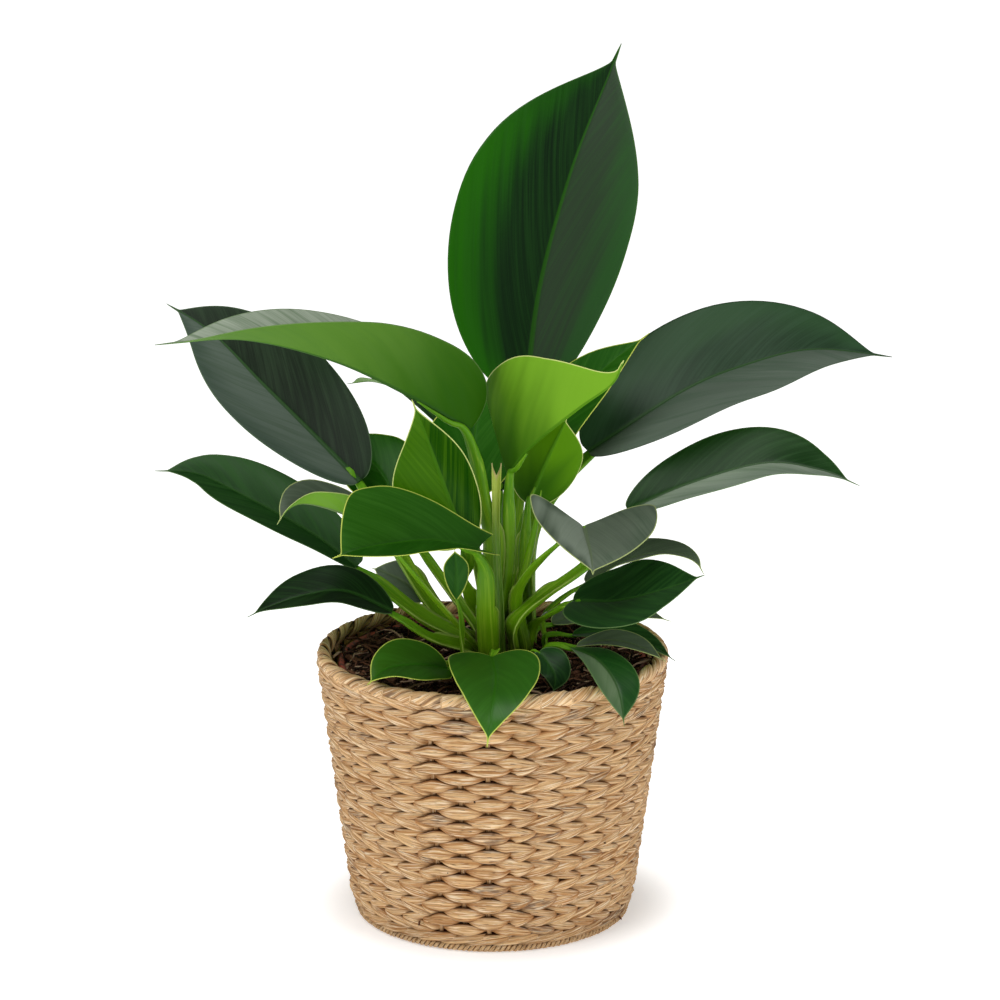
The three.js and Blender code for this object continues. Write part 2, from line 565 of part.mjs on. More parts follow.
// Middle surface of a blade, as rows of points from left edge to right edge
function bladeRows(leaf) {
  const places = leaf.blade.map((p) => new THREE.Vector3(...p));
  const midrib = new THREE.CatmullRomCurve3(places, false, 'catmullrom', 0.5);
  const faceBase = new THREE.Vector3(...leaf.face).normalize();
  const faceTip = new THREE.Vector3(...(leaf.faceTip ?? leaf.face)).normalize();
  const steps = leaf.halfWidth < smallLeafWidth ? smallBladeSteps : bladeSteps;
  const rows = [];
  for (let i = 0; i <= steps; i += 1) {
    const t = i / steps;
    const u = t - endCrowding * Math.sin(2 * Math.PI * t);
    const centre = midrib.getPointAt(u);
    const ahead = midrib.getTangentAt(u);
    const up = faceBase.clone().lerp(faceTip, u);
    up.addScaledVector(ahead, -up.dot(ahead)).normalize();
    const across = new THREE.Vector3().crossVectors(ahead, up);
    const share = widthShare(u, leaf);
    const row = new Array(2 * bladeColumns + 1);
    row[bladeColumns] = centre;
    for (const side of [0, 1]) {
      const sign = side === 0 ? -1 : 1;
      const half = leaf.halfWidth * share * leaf.sides[side];
      const fold = THREE.MathUtils.lerp(leaf.fold[side], leaf.fold[2 + side], u);
      const curl = THREE.MathUtils.lerp(leaf.curl[side], leaf.curl[2 + side], u);
      let out = 0;
      let rise = 0;
      for (let j = 1; j <= bladeColumns; j += 1) {
        const angle = THREE.MathUtils.degToRad(fold + (curl * (2 * j - 1)) / (2 * bladeColumns));
        out += (half / bladeColumns) * Math.cos(angle);
        rise += (half / bladeColumns) * Math.sin(angle);
        const edge = ((j / bladeColumns) * share * leaf.sides[side]);
        const back = lobeReach * leaf.lobe * (1 - u) ** (leaf.lobeEase ?? lobeFade) * edge ** lobeSweep;
        row[bladeColumns + sign * j] = centre.clone()
          .addScaledVector(across, sign * out)
          .addScaledVector(up, rise)
          .addScaledVector(ahead, -back);
      }
    }
    rows.push(row);
  }
  return rows;
}

// Blade of even thickness on that surface; its last row closes to the tip
function bladeGeometry(rows) {
  const columns = rows[0].length;
  const last = rows.length - 1;
  const normalAt = (i, j) => {
    const next = rows[Math.min(i + 1, last)][j];
    const along = new THREE.Vector3().subVectors(next, rows[Math.max(i - 1, 0)][j]);
    const side = i === last ? last - 1 : i;
    const right = rows[side][Math.min(j + 1, columns - 1)];
    const across = new THREE.Vector3().subVectors(right, rows[side][Math.max(j - 1, 0)]);
    return across.cross(along).normalize();
  };
  const corners = [];
  const index = [];
  for (const sign of [1, -1]) {
    const level = [];
    for (let i = 0; i < last; i += 1) {
      level.push([]);
      for (let j = 0; j < columns; j += 1) {
        level[i].push(corners.length);
        corners.push(rows[i][j].clone().addScaledVector(normalAt(i, j), (sign * bladeThickness) / 2));
      }
    }
    const middle = (columns - 1) / 2;
    const lift = (sign * bladeThickness) / 2;
    level.push(new Array(columns).fill(corners.length));
    corners.push(rows[last][middle].clone().addScaledVector(normalAt(last, middle), lift));
    index.push(level);
  }
  const triangles = [];
  const [top, bottom] = index;
  const add = (a, b, c) => {
    if (a !== b && b !== c && a !== c) triangles.push([a, b, c]);
  };
  for (let i = 0; i < last; i += 1) {
    for (let j = 0; j < columns - 1; j += 1) {
      add(top[i][j], top[i][j + 1], top[i + 1][j + 1]);
      add(top[i][j], top[i + 1][j + 1], top[i + 1][j]);
      add(bottom[i][j], bottom[i + 1][j + 1], bottom[i][j + 1]);
      add(bottom[i][j], bottom[i + 1][j], bottom[i + 1][j + 1]);
    }
  }
  const rim = [];
  for (let j = 0; j < columns; j += 1) rim.push([0, j]);
  for (let i = 1; i <= last; i += 1) rim.push([i, columns - 1]);
  for (let i = last - 1; i > 0; i -= 1) rim.push([i, 0]);
  for (let k = 0; k < rim.length; k += 1) {
    const [i, j] = rim[k];
    const [m, n] = rim[(k + 1) % rim.length];
    add(bottom[i][j], bottom[m][n], top[m][n]);
    add(bottom[i][j], top[m][n], top[i][j]);
  }
  return closedGeometry(corners, triangles);
}

// A leaf is its stalk and its blade grown together; the stalk runs on under the midrib
function leafGeometry(leaf) {
  const rows = bladeRows(leaf);
  const middle = bladeColumns;
  const points = [...stalkStart(leaf), ...leaf.stalk.map((p) => new THREE.Vector3(...p))];
  points.push(rows[0][middle], rows[1][middle], rows[2][middle]);
  const [foot, top] = leaf.stalkRadius;
  const radii = [foot, (foot + top) / 2, top, top, top * 0.6, 0.8];
  const steps = leaf.halfWidth < smallLeafWidth ? smallStalkSteps : stalkSteps;
  const stem = stalk(points, radii, steps, stalkSides);
  return toGeometry(toSolid(bladeGeometry(rows)).add(toSolid(stem)));
}

// Young leaf still rolled up: a slim spike on the crown
function spear() {
  const points = [[11.3, -6.6, 182.3], [12, -7, 192], [19, -9, 217], [26, -10, 248], [30, -10, 273]];
  return stalk(points.map((p) => new THREE.Vector3(...p)), [2.6, 2.8, 2.4, 1.6, 0.5], 7, stalkSides);
}

// Old sheath left beside the crown, cut off slantwise at the top
function sheathStub() {
  const points = [
    [5.6, -18.7, 166], [5.4, -20.5, 178], [4.4, -23, 205], [2.3, -21.3, 250], [2.6, -21.3, 293],
  ];
  const tube = stalk(points.map((p) => new THREE.Vector3(...p)), [2.5, 2.6, 2.4, 2.3, 3], 7, stalkSides);
  const cut = new THREE.BoxGeometry(30, 30, 30).rotateY(-0.6).translate(-3, -23, 303);
  return toGeometry(toSolid(tube).subtract(toSolid(cut)));
}

addPiece('basket_wall', basketWall(), strandStraw);
const rimBraid = braid(rimRadius, rimTop - rimHeight, rimWidth, rimHeight, rimStrands);
const footBraid = braid(footRadius, seatGap, footBraidWidth, footBraidHeight, footStrands);
addPiece('rim_braid', rimBraid, strandStraw);
addPiece('foot_braid', footBraid, strandBrown);
addPiece('nursery_pot', nurseryPot(), terracotta);
addPiece('soil', soil(), barkSoil);
addPiece('crown', crownStem(), stalkGreen);
addPiece('spear', spear(), stalkGreen);
addPiece('sheath_stub', sheathStub(), sheathPale);
for (const leaf of leaves) addPiece(leaf.name, leafGeometry(leaf), leafFinishes[leaf.finish]);

export default part;
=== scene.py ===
import math

import bpy
import numpy as np
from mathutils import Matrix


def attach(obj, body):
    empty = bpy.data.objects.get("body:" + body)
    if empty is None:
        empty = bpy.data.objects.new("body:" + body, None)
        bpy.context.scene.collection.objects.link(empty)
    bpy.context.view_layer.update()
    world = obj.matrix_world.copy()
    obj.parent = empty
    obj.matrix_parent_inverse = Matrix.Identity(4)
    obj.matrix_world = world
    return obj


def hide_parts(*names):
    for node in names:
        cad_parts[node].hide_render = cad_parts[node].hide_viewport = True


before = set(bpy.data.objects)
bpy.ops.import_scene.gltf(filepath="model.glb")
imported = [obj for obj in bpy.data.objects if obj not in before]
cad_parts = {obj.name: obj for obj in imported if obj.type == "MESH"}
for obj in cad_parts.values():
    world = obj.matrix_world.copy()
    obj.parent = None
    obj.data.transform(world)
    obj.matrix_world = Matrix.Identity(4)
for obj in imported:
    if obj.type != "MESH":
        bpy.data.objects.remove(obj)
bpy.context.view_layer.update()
mm = 0.001


# Object in the scene for a camera, a lamp or a mesh
def addObject(name, data):
    added = bpy.data.objects.new(name, data)
    bpy.context.scene.collection.objects.link(added)
    return added


# Camera, at the height and distance that fit the basket's ellipses
camera = {"place": (0.0047, -2.2041, 0.8281), "pitch": 14.35, "lens": 132.84, "sensor": 36, "nearest": 0.1}

cameraData = bpy.data.cameras.new("camera")
cameraData.lens = camera["lens"]
cameraData.sensor_width = camera["sensor"]
cameraData.clip_start = camera["nearest"]
cameraObject = addObject("camera", cameraData)
cameraObject.location = camera["place"]
cameraObject.rotation_euler = (math.radians(90 - camera["pitch"]), 0, 0)
bpy.context.scene.camera = cameraObject
print("camera placed")


# One output of a node tree: arithmetic on it adds Math nodes
class Signal:
    def __init__(self, nodes, socket):
        self.nodes = nodes
        self.socket = socket

    def other(self, name):
        return Signal(self.nodes, self.socket.node.outputs[name])

    def math(self, operation, *values):
        return self.nodes.math(operation, self, *values)

    def __add__(self, value):
        return self.math("ADD", value)

    def __sub__(self, value):
        return self.math("SUBTRACT", value)

    def __mul__(self, value):
        return self.math("MULTIPLY", value)

    def __truediv__(self, value):
        return self.math("DIVIDE", value)

    def __pow__(self, value):
        return self.math("POWER", value)

    def __mod__(self, value):
        return self.math("FLOORED_MODULO", value)

    def __gt__(self, value):
        return self.math("GREATER_THAN", value)

    def __abs__(self):
        return self.math("ABSOLUTE")

    def __rsub__(self, value):
        return self.nodes.math("SUBTRACT", value, self)

    def __rtruediv__(self, value):
        return self.nodes.math("DIVIDE", value, self)

    __radd__ = __add__
    __rmul__ = __mul__


# A shader or geometry tree under construction
class Nodes:
    def __init__(self, tree):
        self.tree = tree

    # Settings come first, then values or links by the sockets' names or numbers
    def add(self, kind, settings=None, values=None, output=0):
        node = self.tree.nodes.new(kind)
        for name, value in (settings or {}).items():
            setattr(node, name, value)
        for name, value in (values or {}).items():
            if isinstance(value, Signal):
                self.tree.links.new(value.socket, node.inputs[name])
            else:
                node.inputs[name].default_value = value
        return Signal(self, node.outputs[output] if node.outputs else None)

    def math(self, operation, *values):
        return self.add("ShaderNodeMath", {"operation": operation}, dict(enumerate(values)))

    def vector(self, x, y, z):
        return self.add("ShaderNodeCombineXYZ", values={0: x, 1: y, 2: z})

    def split(self, vector):
        parts = self.add("ShaderNodeSeparateXYZ", values={0: vector})
        return parts, parts.other("Y"), parts.other("Z")

    # The three numbers of a vector attribute
    def attribute(self, name):
        return self.split(self.add("ShaderNodeAttribute", {"attribute_name": name}).other("Vector"))

    # Place in the object, in metres
    def place(self):
        return self.split(self.add("ShaderNodeTexCoord").other("Object"))

    def mix(self, factor, first, second):
        settings = {"data_type": "RGBA", "clamp_factor": True}
        return self.add("ShaderNodeMix", settings, {0: factor, 6: first, 7: second}, 2)

    def blend(self, factor, first, second):
        return self.add("ShaderNodeMix", {"data_type": "FLOAT"}, {0: factor, 2: first, 3: second})

    # Smooth step of a value from low to high
    def step(self, value, low, high):
        settings = {"interpolation_type": "SMOOTHSTEP"}
        return self.add("ShaderNodeMapRange", settings, {0: value, 1: low, 2: high, 3: 0.0, 4: 1.0})

    # Cloudy noise at a place that is already scaled
    def noise(self, x, y, z, detail=2.0, roughness=0.5):
        return self.add("ShaderNodeTexNoise", values={
            "Vector": self.vector(x, y, z), "Scale": 1.0, "Detail": detail, "Roughness": roughness})


# Screen colour, 0 to 255, as the linear colour that shaders take
def paint(red, green, blue):
    return tuple((c / 255 / 12.92) if c < 10.3 else ((c / 255 + 0.055) / 1.055) ** 2.4
                 for c in (red, green, blue)) + (1.0,)


def newMaterial(name):
    material = bpy.data.materials.new(name)
    material.use_nodes = True
    material.node_tree.nodes.clear()
    return material, Nodes(material.node_tree)


# Material whose colour, roughness and bump height come from one function of its tree
def finish(name, make, bump=0.3, bumpDepth=0.001, gloss=0.5):
    material, nodes = newMaterial(name)
    colour, roughness, height = make(nodes)
    bumped = nodes.add("ShaderNodeBump", values={"Strength": bump, "Distance": bumpDepth, "Height": height})
    skin = nodes.add("ShaderNodeBsdfPrincipled", values={
        "Base Color": colour, "Roughness": roughness, "Specular IOR Level": gloss, "Normal": bumped})
    nodes.add("ShaderNodeOutputMaterial", values={"Surface": skin})
    return material


# Mesh object from corner points in millimetres, with vector attributes
def meshPiece(name, points, faces, materials, faceMaterials=None, attributes=None):
    mesh = bpy.data.meshes.new(name)
    mesh.from_pydata((np.asarray(points) * mm).tolist(), [], faces)
    for label, values in (attributes or {}).items():
        data = mesh.attributes.new(label, "FLOAT_VECTOR", "POINT")
        data.data.foreach_set("vector", np.asarray(values, dtype=np.float32).ravel())
    for material in materials:
        mesh.materials.append(material)
    if faceMaterials is not None:
        mesh.polygons.foreach_set("material_index", faceMaterials)
    mesh.polygons.foreach_set("use_smooth", [True] * len(mesh.polygons))
    return addObject(name, mesh)


# Hands a finished piece to the frame
def handOver(piece, node, slotName):
    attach(piece, "root")
    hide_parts(node)


# Quads between rows of corner numbers, closed round each row when asked
def quadsBetween(rows, columns, closed=True):
    faces = []
    for i in range(rows - 1):
        for j in range(columns if closed else columns - 1):
            near, far = i * columns, (i + 1) * columns
            following = (j + 1) % columns
            faces.append((near + j, near + following, far + following, far + j))
    return faces


# Rings of quads with a cap at each end
def tubeFaces(rows, columns):
    caps = [tuple(reversed(range(columns))), tuple(range((rows - 1) * columns, rows * columns))]
    return quadsBetween(rows, columns) + caps


# The same faces turned over, on corners that are numbered further on
def turnedOver(faces, offset=0):
    return [tuple(offset + k for k in reversed(face)) for face in faces]


# Geometry tree with named inputs; returns its nodes and a signal for each input
def geometryTree(name, sizes):
    tree = bpy.data.node_groups.new(name, "GeometryNodeTree")
    tree.interface.new_socket("Geometry", in_out="OUTPUT", socket_type="NodeSocketGeometry")
    for label, value in sizes.items():
        kind = "Int" if isinstance(value, int) else "Float"
        socket = tree.interface.new_socket(label, in_out="INPUT", socket_type="NodeSocket" + kind)
        socket.default_value = value
    tree.interface.new_socket("Material", in_out="INPUT", socket_type="NodeSocketMaterial")
    nodes = Nodes(tree)
    given = nodes.add("NodeGroupInput")
    return nodes, {label: given.other(label) for label in (*sizes, "Material")}


# Last nodes of every geometry tree
def endTree(nodes, given, geometry):
    real = nodes.add("GeometryNodeRealizeInstances", values={"Geometry": geometry})
    shaded = nodes.add("GeometryNodeSetShadeSmooth", values={"Geometry": real, "Shade Smooth": True})
    painted = nodes.add("GeometryNodeSetMaterial", values={
        "Geometry": shaded, "Material": given["Material"]})
    nodes.add("NodeGroupOutput", values={"Geometry": painted})
    return nodes.tree


# Runs a geometry tree on an object and keeps the result as its plain mesh
def grow(name, tree, sizes, material, base=None):
    piece = addObject(name, base or bpy.data.meshes.new(name + "_start"))
    modifier = piece.modifiers.new("growth", "NODES")
    modifier.node_group = tree
    values = {**sizes, "Material": material}
    for item in tree.interface.items_tree:
        if item.in_out == "INPUT" and item.name in values:
            modifier[item.identifier] = values[item.name]
    graph = bpy.context.evaluated_depsgraph_get()
    mesh = bpy.data.meshes.new_from_object(
        piece.evaluated_get(graph), preserve_all_data_layers=True, depsgraph=graph)
    mesh.name = name
    piece.modifiers.remove(modifier)
    piece.data = mesh
    return piece


# Woven wall of the basket. Every row is two flattened strands twined round the stakes, each
# swelling to a pointed lens where it passes in front of one. The rows slant by turns, so
# their lenses meet in chevrons, apart from a plain stretch at the front that shows the stakes.
weave = {
    "Stakes": 36, "Rows": 27, "Segments": 6, "Sides": 14, "Strand": 0, "Rope": 0.0,
    "Bottom": 11.8, "Top": 164.2, "Foot Radius": 84.2, "Top Radius": 104.3, "Turn": -1.4,
    "Wide": 7.5, "Narrow": 0.4, "Inner Wide": 5.6, "Inner From": 0.88, "Bulk": 1.2,
    "Front Thickness": 2.5, "Back Thickness": 0.8, "Depth": 2.2, "Shingle": 1.1,
    "Slant": 3.3, "Rise": 0.8, "Fuller": 0.14,
    "Plain Middle": -98.0, "Plain Half": 15.0, "Plain Ease": 3.0, "Plain Wide": 9.8,
    "Folds": 3.0, "Fold Depth": 0.22, "Seed": 4.0,
}
# Above the foot lies one larger row of the same kind, whose lenses all rise to the right as in a rope
footRow = {
    **weave, "Stakes": 32, "Rows": 1, "Segments": 10, "Sides": 20, "Rope": 1.0,
    "Bottom": 4.4, "Top": 11.4, "Foot Radius": 83.2, "Top Radius": 83.9,
    "Wide": 7.2, "Narrow": 2.2, "Inner Wide": 3.0, "Inner From": 0.5, "Bulk": 0.6,
    "Front Thickness": 2.1, "Back Thickness": 1.6, "Depth": 1.7, "Shingle": 0.8,
    "Slant": -2.8, "Rise": 0.0, "Fuller": 0.0, "Folds": 4.0, "Seed": 12.0,
}
# How uneven the handwork is: least share and range of what is drawn for a lens, the play of its
# middle up and outwards, and the slow waves of a row
handwork = {"leastSize": 0.88, "sizeRange": 0.24, "leastSlant": 0.75, "slantRange": 0.5,
            "lift": 0.9, "bulge": 0.5, "foldTwist": 2.5, "foldShift": 2.0, "sag": 0.35, "sagWaves": 3.0}


# Flat grids, one for each copy, whose corners know their shares along and around and their copy
def numberedGrids(nodes, copies, along, around):
    grid = nodes.add("GeometryNodeMeshGrid", values={
        "Size X": 1.0, "Size Y": 1.0, "Vertices X": along + 1, "Vertices Y": around + 1})
    x, y = nodes.split(nodes.add("GeometryNodeInputPosition"))[:2]
    shape = store(nodes, grid, "alongShare", x + 0.5)
    shape = store(nodes, shape, "aroundShare", y + 0.5)
    points = nodes.add("GeometryNodePoints", values={"Count": copies})
    points = store(nodes, points, "copy", nodes.add("GeometryNodeInputIndex"))
    spread = nodes.add("GeometryNodeInstanceOnPoints", values={"Points": points, "Instance": shape})
    real = nodes.add("GeometryNodeRealizeInstances", values={"Geometry": spread})
    return real, read(nodes, "alongShare"), read(nodes, "aroundShare"), read(nodes, "copy")


def store(nodes, geometry, name, value, kind="FLOAT", domain="POINT"):
    settings = {"data_type": kind, "domain": domain}
    return nodes.add("GeometryNodeStoreNamedAttribute", settings,
                     {"Geometry": geometry, "Name": name, "Value": value})


def read(nodes, name):
    return nodes.add("GeometryNodeInputNamedAttribute", {"data_type": "FLOAT"}, {"Name": name})


# Moves the corners to a radius, an angle and a height in millimetres, and closes the seams
def wrapRound(nodes, geometry, radius, angle, height):
    place = nodes.vector(radius * angle.math("COSINE") * mm, radius * angle.math("SINE") * mm, height * mm)
    shaped = nodes.add("GeometryNodeSetPosition", values={"Geometry": geometry, "Position": place})
    return nodes.add("GeometryNodeMergeByDistance", values={"Geometry": shaped, "Distance": 0.04 * mm})


# Three random numbers for each stitch
def drawnFor(nodes, stitch, row, seed):
    noise = nodes.add("ShaderNodeTexWhiteNoise", {"noise_dimensions": "3D"},
                      {"Vector": nodes.vector(stitch, row, seed)})
    return nodes.split(noise.other("Color"))


# Marks a strand for its finish: places along and across it and a number that sets it apart, then its random
# tone, its swell, which sets the painted shade at pinches and lens ends, and its level, -1 at the lower
# edge and 1 at the upper one, which sets the painted shade along the edges
def markStrand(nodes, geometry, fibre, strandTone):
    geometry = store(nodes, geometry, "fibre", nodes.vector(*fibre), "FLOAT_VECTOR")
    return store(nodes, geometry, "strandTone", nodes.vector(*strandTone), "FLOAT_VECTOR")


def weaveTree():
    nodes, given = geometryTree("basketWeave", weave)
    strands, along, around, row = numberedGrids(
        nodes, given["Rows"], given["Stakes"] * given["Segments"], given["Sides"])
    turned = along * 360.0 + given["Turn"]
    phase = along * given["Stakes"] + given["Strand"]
    stitch = ((phase + 1.0) / 2.0).math("FLOOR")
    within = phase - stitch * 2.0                  # -1 behind one stake, 0 before the next, 1 behind again
    wrapped = stitch % (given["Stakes"] / 2.0) + given["Strand"] * 40.0
    size, lift, lean = drawnFor(nodes, wrapped, row, given["Seed"])
    tone, shift, twist = drawnFor(nodes, wrapped, row, given["Seed"] + 7.3)

    # Right of the plain stretch the right tips lie on top, left of it the left ones
    away = (turned - given["Plain Middle"] + 180.0) % 360.0 - 180.0
    plain = 1.0 - nodes.step(
        abs(away), given["Plain Half"] - given["Plain Ease"], given["Plain Half"] + given["Plain Ease"])
    side = ((away * (math.pi / 180.0)).math("SINE") * 4.0).math("MAXIMUM", -1.0).math("MINIMUM", 1.0)
    side = nodes.blend(given["Rope"], side, 1.0)
    plain = plain * (1.0 - given["Rope"])
    resting = (row + given["Strand"]) % 2.0        # strands that stay behind in the plain stretch
    shown = 1.0 - plain * resting
    parity = (row % 2.0) * 2.0 - 1.0               # the rows slant by turns

    # Width and thickness: a lens in front of the stake, thin at its tips, fat again inside the wall
    apart = abs(within).math("MINIMUM", 1.0)
    swell = (1.0 - apart * apart) ** given["Bulk"] * shown
    passed = nodes.step(abs(within), given["Inner From"], 1.0)
    inside = passed + plain * resting * (1.0 - passed)
    fuller = 1.0 + given["Fuller"] * parity * side * (1.0 - plain)    # every second row is fuller
    full = given["Wide"] + (given["Plain Wide"] - given["Wide"]) * plain * (1.0 - resting)
    full = full * (handwork["leastSize"] + handwork["sizeRange"] * size)
    full = full * fuller.math("MINIMUM", 1.0 + given["Fuller"])
    wide = given["Narrow"] + (full - given["Narrow"]) * swell + given["Inner Wide"] * inside
    thick = given["Back Thickness"] + (given["Front Thickness"] - given["Back Thickness"]) * swell
    turn = around * math.tau - 0.6 * (around * math.tau).math("SINE")
    level = turn.math("SINE")
    folds = level * (given["Folds"] * math.pi) + within * (twist - 0.5) * handwork["foldTwist"]
    folds = folds + shift * handwork["foldShift"]
    thick = thick * (1.0 + given["Fold Depth"] * folds.math("COSINE"))

    # Height: level rows that sag a little, with slanted lenses, pressed flat under the border
    front = ((within * math.pi).math("COSINE") + 1.0) / 2.0
    pitch = (given["Top"] - given["Bottom"]) / given["Rows"]
    sag = (along * math.tau * handwork["sagWaves"] + row * 1.7).math("SINE") * handwork["sag"]
    slanted = within * (1.0 - abs(within) ** 7.0) * (1.0 - plain)
    slanted = slanted * (given["Slant"] * parity + side * given["Rise"])
    slanted = slanted * (handwork["leastSlant"] + handwork["slantRange"] * lean)
    height = given["Bottom"] + (row + 0.5) * pitch + level * wide * 0.5 + sag + slanted
    height = height + (lift - 0.5) * front * handwork["lift"]
    height = height.math("SMOOTH_MIN", given["Top"] + 1.0, 1.2)

    # Radius: the taper of the basket, out before a stake and in behind it, one tip over the next
    risen = (height - given["Bottom"]) / (given["Top"] - given["Bottom"])
    radius = given["Foot Radius"] + (given["Top Radius"] - given["Foot Radius"]) * risen
    raised = (1.0 - apart ** 4.0) * shown
    radius = radius + given["Depth"] * (2.0 * raised - 1.0) + turn.math("COSINE") * thick
    shingle = given["Shingle"] * side * (within * math.pi).math("SINE") * shown * (1.0 - 0.7 * plain)
    radius = radius + shingle + (shift - 0.5) * front * handwork["bulge"]

    woven = wrapRound(nodes, strands, radius, turned * (math.pi / 180.0), height)
    # The swell sets the painted shade at pinches and lens ends; a rope keeps at least 0.9 and so gets none
    light = swell.math("MAXIMUM", given["Rope"] * 0.9)       # a rope is as light on its inner side
    fibre = within * 18.0, level * 3.5, wrapped * 3.7 + row * 11.3
    woven = markStrand(nodes, woven, fibre, (tone, light, level))
    return endTree(nodes, given, woven)


# Upright stakes, which wander a little and lean with the wall
stakeSizes = {
    "Stakes": 36, "Segments": 24, "Sides": 8, "Bottom": 5.0, "Top": 165.0, "Half Width": 1.5,
    "Half Thickness": 1.0, "Foot Radius": 84.0, "Top Radius": 104.1, "Taper From": 12.2,
    "Taper Height": 147.0, "Turn": -1.4, "Wander": 0.35,
}


def stakeTree():
    nodes, given = geometryTree("basketStakes", stakeSizes)
    stakes, along, around, copy = numberedGrids(nodes, given["Stakes"], given["Segments"], given["Sides"])
    turn = around * math.tau
    level = turn.math("SINE")
    height = given["Bottom"] + (given["Top"] - given["Bottom"]) * along
    wander = (height * 0.16 + copy * 2.1).math("SINE") * given["Wander"]
    taper = (given["Top Radius"] - given["Foot Radius"]) * (height - given["Taper From"])
    radius = given["Foot Radius"] + taper / given["Taper Height"]
    radius = radius + turn.math("COSINE") * given["Half Thickness"]
    sideways = (level * given["Half Width"] + wander) / radius + given["Turn"] * (math.pi / 180.0)
    stood = wrapRound(nodes, stakes, radius, copy * math.tau / given["Stakes"] + sideways, height)
    tone = drawnFor(nodes, copy, 0.0, 2.0)[0]
    stood = markStrand(nodes, stood, (height, level * 2.0, copy), (tone * 0.5, 0.8, 0.0))
    return endTree(nodes, given, stood)


# Plain hoop that fills the border
rimCore = {"Sides": 10, "Segments": 144, "Ring Radius": 104.6, "Middle": 163.4, "Half Width": 1.5,
           "Half Height": 5.4}


def hoopTree():
    nodes, given = geometryTree("plainHoop", rimCore)
    hoop, along, around = numberedGrids(nodes, 1, given["Segments"], given["Sides"])[:3]
    turn = around * math.tau
    level = turn.math("SINE")
    radius = given["Ring Radius"] + given["Half Width"] * turn.math("COSINE")
    hoop = wrapRound(nodes, hoop, radius, along * math.tau, given["Middle"] + given["Half Height"] * level)
    # Its swell of 0.6 gives the hoop a little of the painted shade of a lens end all round
    hoop = markStrand(nodes, hoop, (along * 660.0, level * 3.0, 1.0), (0.4, 0.6, 0.0))
    return endTree(nodes, given, hoop)


# Strands twisted round each other in a ring: the border of two thick ones and the rolled edge
# under the foot of three thin ones
rimTwist = {
    "Strands": 2, "Turns": 17, "Segments": 34, "Sides": 16, "Ring Radius": 105.0, "Middle": 165.9,
    "Half Width": 4.4, "Half Height": 5.2, "Depth": 0.6, "Cover": 1.1, "Ease": 0.3, "Folds": 3.0,
    "Fold Depth": 0.05, "Inner Loss": 0.3, "Seed": 9.0,
}
footCoil = {
    **rimTwist, "Strands": 3, "Turns": 56, "Segments": 8, "Sides": 7, "Ring Radius": 83.4, "Middle": 2.7,
    "Half Width": 3.1, "Half Height": 2.7, "Depth": 0.5, "Ease": 0.0, "Folds": 1.0, "Seed": 3.0,
}


def twistTree():
    nodes, given = geometryTree("twistedRing", footCoil)
    strands, along, around, copy = numberedGrids(
        nodes, given["Strands"], given["Turns"] * given["Segments"], given["Sides"])
    coil = along * given["Turns"] + copy / given["Strands"]
    visible = coil.math("FLOOR") % given["Turns"]
    size, lift, tone = drawnFor(nodes, visible, copy, given["Seed"])
    turn = around * math.tau
    level, outwards = turn.math("SINE"), turn.math("COSINE")
    inner = 0.5 - 0.5 * (coil * math.tau).math("COSINE")
    eased = coil * math.tau - given["Ease"] * (coil * math.tau).math("SINE")
    cover = level * given["Cover"] * math.pi / given["Strands"] * (0.92 + 0.16 * size)
    angle = eased + cover * (1.0 - inner * given["Inner Loss"])
    folds = (level * (given["Folds"] * math.pi) + coil * 2.0).math("COSINE") * given["Fold Depth"]
    shell = 1.0 - given["Depth"] * (1.0 - outwards) / 2.0 + folds * outwards.math("MAXIMUM", 0.0)
    shell = shell * (0.96 + 0.06 * lift)
    radius = given["Ring Radius"] + given["Half Width"] * shell * angle.math("COSINE")
    height = given["Middle"] + given["Half Height"] * shell * angle.math("SINE")
    ring = wrapRound(nodes, strands, radius, along * math.tau, height)
    fibre = along * given["Turns"] * 40.0, level * 4.0, visible * 5.1 + copy * 17.0
    ring = markStrand(nodes, ring, fibre, (tone, 1.0 - 0.1 * inner, level))
    return endTree(nodes, given, ring)


# Dry fibre: long streaks in two straw tones and a few grey-brown strands, with painted glints for
# highlights and painted shade: warmer and darker at the ends of each lens, darker along the edges, and
# nearly black in the creases and pinches
straw = {
    "light": paint(234, 196, 144), "middle": paint(192, 142, 90), "deep": paint(118, 70, 34),
    "warmShade": paint(178, 118, 66), "bright": paint(255, 238, 206), "brown": paint(118, 94, 76),
    "creviceShadow": paint(18, 9, 4), "dash": paint(60, 32, 14), "brownShare": 0.07,
    "bump": 0.6, "bumpDepth": 0.0014, "gloss": 0.12,
}
stakeStraw = {**straw, "light": paint(214, 168, 114), "middle": paint(184, 136, 86), "brownShare": 0.02,
              "bump": 0.4, "bumpDepth": 0.0006}
# The border's straw is a little lighter than the wall's, partly its own tone and partly painted light on
# its shaded inner side
rimStraw = {**straw, "light": paint(244, 206, 154), "middle": paint(206, 158, 106), "brownShare": 0.03,
            "bump": 0.5, "bumpDepth": 0.001}
footStraw = {**straw, "light": paint(226, 190, 138), "middle": paint(200, 154, 100),
             "bump": 0.5, "bumpDepth": 0.0006}


